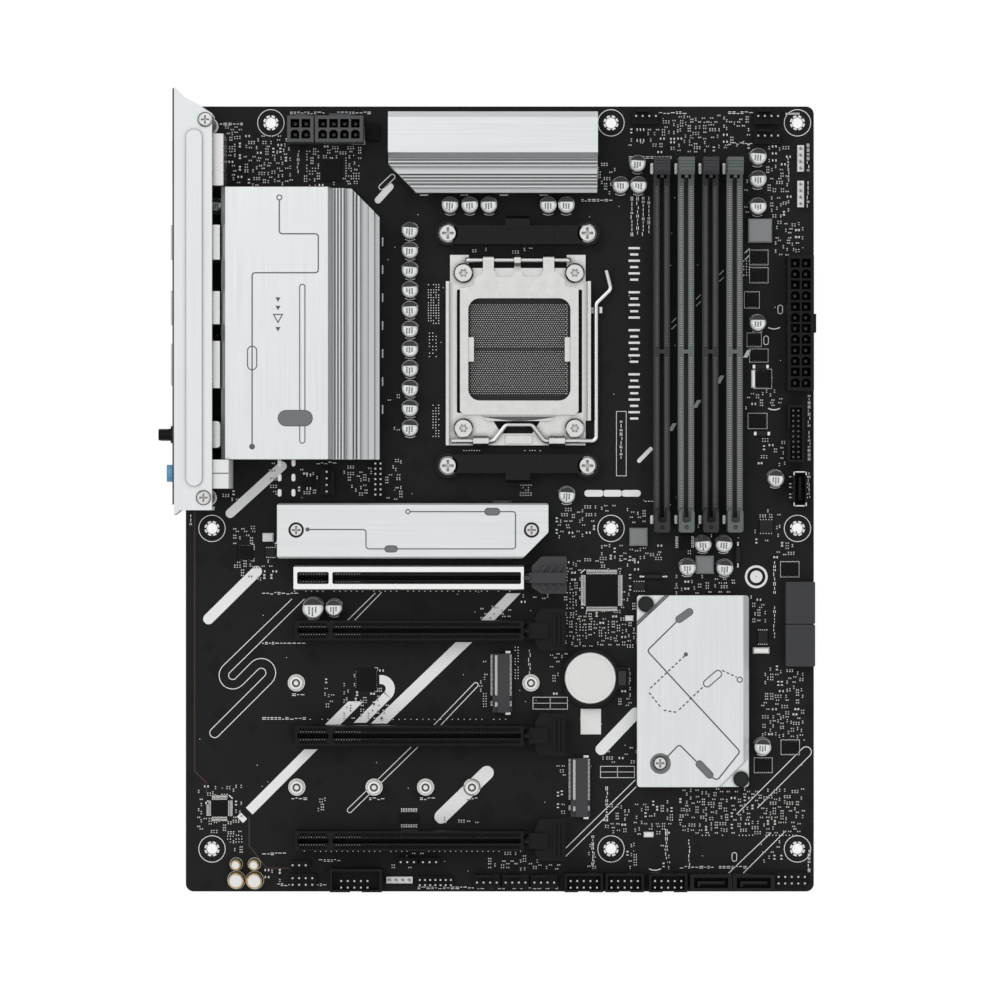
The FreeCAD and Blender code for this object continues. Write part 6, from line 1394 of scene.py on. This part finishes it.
def standoff_marks():
    """A bright land on the board and a dark ring on top of each drive standoff."""
    lands = Shapes()
    rings = Shapes()
    for box in solids("standoffs"):
        if box.high > 10:
            continue
        across, down = box.middle()
        lands.ring(across, down, 3.15, 0.35)
        rings.ring(across, down, 1.35, 0.5, box.high - 0.02, box.high + 0.02)
        lands.turn(across, down, [(0.85, box.high - 0.3), (0.85, box.high + 0.01)], 0, 14)
    piece("standoff_lands", lands, [TIN])
    piece("standoff_rings", rings, [RESISTOR])


# ---- rear ports
def rear_tongues():
    """Tongues, contacts, lamps and pins inside the rear ports."""
    shapes = Shapes()
    black, gold, blue, green, amber = range(5)
    face = -2.2
    depth = 10.4
    network = 101.0
    video = 22.45
    usb_lows = (2.2, 9.4, 16.6, 23.8)
    usb_ports = [(54.25, low, blue) for low in usb_lows] + [(79.3, low, black) for low in usb_lows]
    for down, low, ink in usb_ports + [(network, 2.2, black)]:
        shapes.block(face, depth, down - 5.6, down + 5.6, low + 2.3, low + 4.2, ink, 0.1)
        for i in range(4):
            y = down - 3.75 + 2.5 * i
            shapes.block(face + 0.5, 4.0, y - 0.5, y + 0.5, low + 2.22, low + 2.34, gold)
    shapes.block(face, 4.8, network - 3.3, network + 3.3, 12.6, 13.3, black, 0.1)
    for i in range(8):
        y = network - 3.57 + 1.02 * i
        rings = []
        for across, height in ((9.6, 17.0), (1.0, 21.6)):
            corners = ((-0.22, 0), (0.22, 0), (0.22, 0.3), (-0.22, 0.3))
            rings.append([at(across, y + side, height + rise) for side, rise in corners])
        shapes.stack(rings, gold)
    for down, ink in ((94.6, green), (107.4, amber)):
        shapes.pad(-2.4, down, 0.8, 1.4, 25.3, 27.3, ink, 0.2)
    shapes.block(face, 10.0, video - 5.6, video + 5.6, 6.5, 7.5, black, 0.1)
    shapes.block(face, 10.0, video - 5.2, video + 5.2, 17.2, 18.3, black, 0.1)
    for i in range(9):
        y = video - 4.4 + 1.1 * i
        for low in (6.42, 17.12):
            shapes.block(face + 0.4, 5.0, y - 0.2, y + 0.2, low, low + 0.12, gold)
    piece("rear_port_tongues", shapes, [BLACK, GOLD, BLUE, GREEN_LED, AMBER_LED])


def power_cell_shade():
    """Painted shade: dark walls just inside the cells of the two processor power plugs."""
    shade_walls = Shapes()
    size = 3.36
    wall = 0.14
    for box in solids("cpu_power_connectors"):
        for i in range(round((box.right - box.left - 0.9) / PLUG_PITCH)):
            for j in range(2):
                a = box.left + 1.32 + i * PLUG_PITCH
                b = a + size
                c = box.bottom - 8.88 + j * PLUG_PITCH
                d = c + size
                for side in (
                    (a, a + wall, c, d), (b - wall, b, c, d), (a, b, c, c + wall), (a, b, d - wall, d),
                ):
                    shade_walls.block(*side, 4.0, box.high - 0.35)
    piece("power_cell_shade", shade_walls, [BLACK])


def battery_relief():
    """The raised rim and faint marks on the coin cell's face."""
    box = solids("battery")[0]
    across, down = box.middle()
    relief = Shapes()
    radius = (box.right - box.left) / 2
    high = box.high
    relief.ring(across, down, radius - 1.5, 0.35, high - 0.02, high + 0.05)
    for x, y in around(across, down, radius - 0.9, 20, 340, 1):
        relief.pad(x, y, 0.4, 0.12, high - 0.02, high + 0.04)
    piece("battery_relief", relief, [CELL], "battery")


def blank_label():
    label = Shapes()
    label.block(153.3, 161.2, 233.9, 243.8, INK_LOW, 0.09, 0, 0.03)
    piece("blank_label", label, [LABEL])


# ---- underside
def joint(shapes, across, down, radius):
    """A solder cone under the board with the pin's tip in it."""
    profile = ((radius, -0.02), (radius * 0.55, 0.35), (radius * 0.35, 0.75), (0.1, 0.85))
    shapes.turn(across, down, [(size, UNDER - depth) for size, depth in profile], 0, 6)


def plug_joints(solder):
    """Solder joints of the slots, plugs, cans and rear ports."""
    for i in range(4):
        across = 184.5 + 9.4 * i
        for start, end in ((31.6, 93.0), (97.8, 155.2)):
            for j in range(int((end - start) / 1.7)):
                for shift, stagger in ((-2.6, 0.0), (-1.0, 0.85), (1.0, 0.0), (2.6, 0.85)):
                    joint(solder, across + shift, start + j * 1.7 + stagger, 0.36)
    for step in (0, 1, 3, 5):
        down = 182.9 + CARD_PITCH * step
        for start, end in ((44.4, 55.4), (58.2, 129.6)):
            for j in range(int((end - start) / 2)):
                for shift, stagger in ((-3.0, 0.0), (-1.1, 1.0), (1.1, 0.0), (3.0, 1.0)):
                    joint(solder, start + j * 2 + stagger, down + shift, 0.4)
    for left, top, columns, rows in ((39.9, 4.5, 2, 2), (50.6, 4.5, 4, 2), (232.9, 58.4, 2, 12)):
        for i in range(columns):
            for j in range(rows):
                joint(solder, left + 3.0 + PLUG_PITCH * i, top + 3.0 + PLUG_PITCH * j, 1.15)
    for box in solids("connector_pins") + solids("inductors"):
        if box.right - box.left < 1.2 and box.bottom - box.top < 1.2:
            joint(solder, *box.middle(), 0.62)
    for box in solids("capacitors") + solids("audio_capacitors"):
        across, down = box.middle()
        for side in (-1, 1):
            joint(solder, across + side * 1.25, down, 0.6)
    for box in solids("usb_stacks") + solids("video_ports") + solids("audio_block"):
        if box.right - box.left < 6 or box.right < 8:
            continue
        for j in range(int((box.bottom - box.top - 2) / 2.2)):
            for across in (6.2, 8.6, 10.8):
                joint(solder, across, box.top + 1.6 + 2.2 * j, 0.55)


def underside_parts(parts):
    """Small parts and vias under the board, clear of the socket's backplate."""
    plate_low, plate_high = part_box("socket_backplate")
    plate_left, plate_bottom, _ = board_place(plate_low)
    plate_right, plate_top, _ = board_place(plate_high)
    room = 1.5

    def clear(across, down):
        beside = across < plate_left - room or across > plate_right + room
        return beside or down < plate_top - room or down > plate_bottom + room

    for _ in range(420):
        across = random.uniform(8, WIDTH - 8)
        down = random.uniform(8, LENGTH - 8)
        if not clear(across, down):
            continue
        along = random.random() < 0.5
        for i in range(random.choice((1, 2, 3, 4))):
            x = across + (0 if along else 1.1 * i)
            y = down + (1.1 * i if along else 0)
            if not clear(x, y):
                continue
            half, wide = (0.55, 0.28) if along else (0.28, 0.55)
            parts.pad(x, y, half, wide, UNDER - 0.36, UNDER + 0.02, CERAMIC_INK)
            shift, end = ((0.42, 0), (0.16, 0.31)) if along else ((0, 0.42), (0.31, 0.16))
            for side in (-1, 1):
                a, b = x + side * shift[0], y + side * shift[1]
                parts.pad(a, b, *end, UNDER - 0.39, UNDER + 0.02, TIN_INK)
    for _ in range(700):
        across = random.uniform(4, WIDTH - 4)
        down = random.uniform(4, LENGTH - 4)
        if clear(across, down):
            parts.turn(across, down, [(0.26, UNDER + 0.02), (0.26, UNDER - 0.03)], TIN_INK, 6)


def underside():
    """Solder joints, small parts and printed marks underneath."""
    solder = Shapes()
    plug_joints(solder)
    piece("solder_joints", solder, [TIN])
    parts = Shapes()
    underside_parts(parts)
    marks = Shapes()
    layer = (UNDER - INK_HIGH, UNDER - INK_LOW)
    for across, down in HOLES:
        marks.ring(across, down, 5.15, 0.28, *layer)
    for x, y, reach in ((20, 40, 50), (70, 200, 50), (150, 230, 50), (30, 250, 30)):
        marks.ribbon([(x, y), (x + reach, y + reach)], 2.6, *layer)
        marks.ribbon([(x + 6, y - 2), (x + reach + 6, y + reach - 2)], 0.5, *layer)
    piece("underside_parts", parts, [TIN, RESISTOR, CERAMIC, WHITE])
    piece("underside_marks", marks, [INK])


# ---- run
random.seed(7)
standoff_holes()
printed_pattern()
covered_traces()
small_parts()
chip_details()
can_marks()
power_heatsink_art()
drive_heatsink_art()
chipset_heatsink_art()
socket_field()
lip_shade()
ladders()
card_contacts()
memory_studs()
drive_socket_details()
drive_port_step_shade()
front_header_rim()
standoff_marks()
rear_tongues()
power_cell_shade()
battery_relief()
blank_label()
underside()

# ---- floor, light, camera
def studio():
    """A pale floor, a soft sky that is brightest overhead, and two large soft lamps."""
    drop = CAD_BOX[0].z - 0.0005
    size = 6.0
    data = bpy.data.meshes.new("floor")
    corners = [(-size, -size, drop), (size, -size, drop), (size, size, drop), (-size, size, drop)]
    data.from_pydata(corners, [], [(0, 1, 2, 3)])
    floor = link("floor", data)
    pale = surface("floor_pale", (0.25, 0.25, 0.25), 0.8, grain=30.0, spread=0.01, bump=0.0)
    shader = pale.node_tree.nodes["Principled BSDF"]
    shader.inputs["Emission Color"].default_value = (1.0, 1.0, 1.0, 1.0)
    shader.inputs["Emission Strength"].default_value = 0.85
    data.materials.append(pale)

    world = bpy.data.worlds.new("sky")
    bpy.context.scene.world = world
    world.use_nodes = True
    tree = world.node_tree
    back = tree.nodes["Background"]
    back.inputs["Color"].default_value = (1.0, 1.0, 1.0, 1.0)
    way = tree.nodes.new("ShaderNodeTexCoord")
    split = tree.nodes.new("ShaderNodeSeparateXYZ")
    ramp = tree.nodes.new("ShaderNodeMapRange")
    tree.links.new(way.outputs["Generated"], split.inputs[0])
    tree.links.new(split.outputs["Z"], ramp.inputs["Value"])
    for name, value in (("From Min", 0.05), ("From Max", 0.85), ("To Min", 0.3), ("To Max", 0.9)):
        ramp.inputs[name].default_value = value
    tree.links.new(ramp.outputs[0], back.inputs["Strength"])

    for name, place, power, width in (
        ("key", (-0.9, 0.8, 1.5), 8.0, 1.4),
        ("fill", (1.1, -0.6, 1.3), 3.0, 1.6),
    ):
        light = bpy.data.lights.new(name, "AREA")
        light.energy = power
        light.size = width
        lamp = link(name, light)
        lamp.location = place
        lamp.rotation_mode = "QUATERNION"
        lamp.rotation_quaternion = Vector(place).to_track_quat("Z", "Y")


def camera():
    """Straight down on the board from 1.9 m, its top edge up."""
    distance = 1.9
    view_width = 0.3883
    aim = at(121.99, 152.80, 0.0)
    data = bpy.data.cameras.new("camera")
    data.sensor_width = 36.0
    data.lens = data.sensor_width * distance / view_width
    data.clip_start = 0.1
    data.clip_end = 20.0
    viewer = link("camera", data)
    viewer.location = (aim.x, aim.y, aim.z + distance)
    bpy.context.scene.camera = viewer


studio()
camera()
bpy.context.scene.view_settings.view_transform = "Standard"
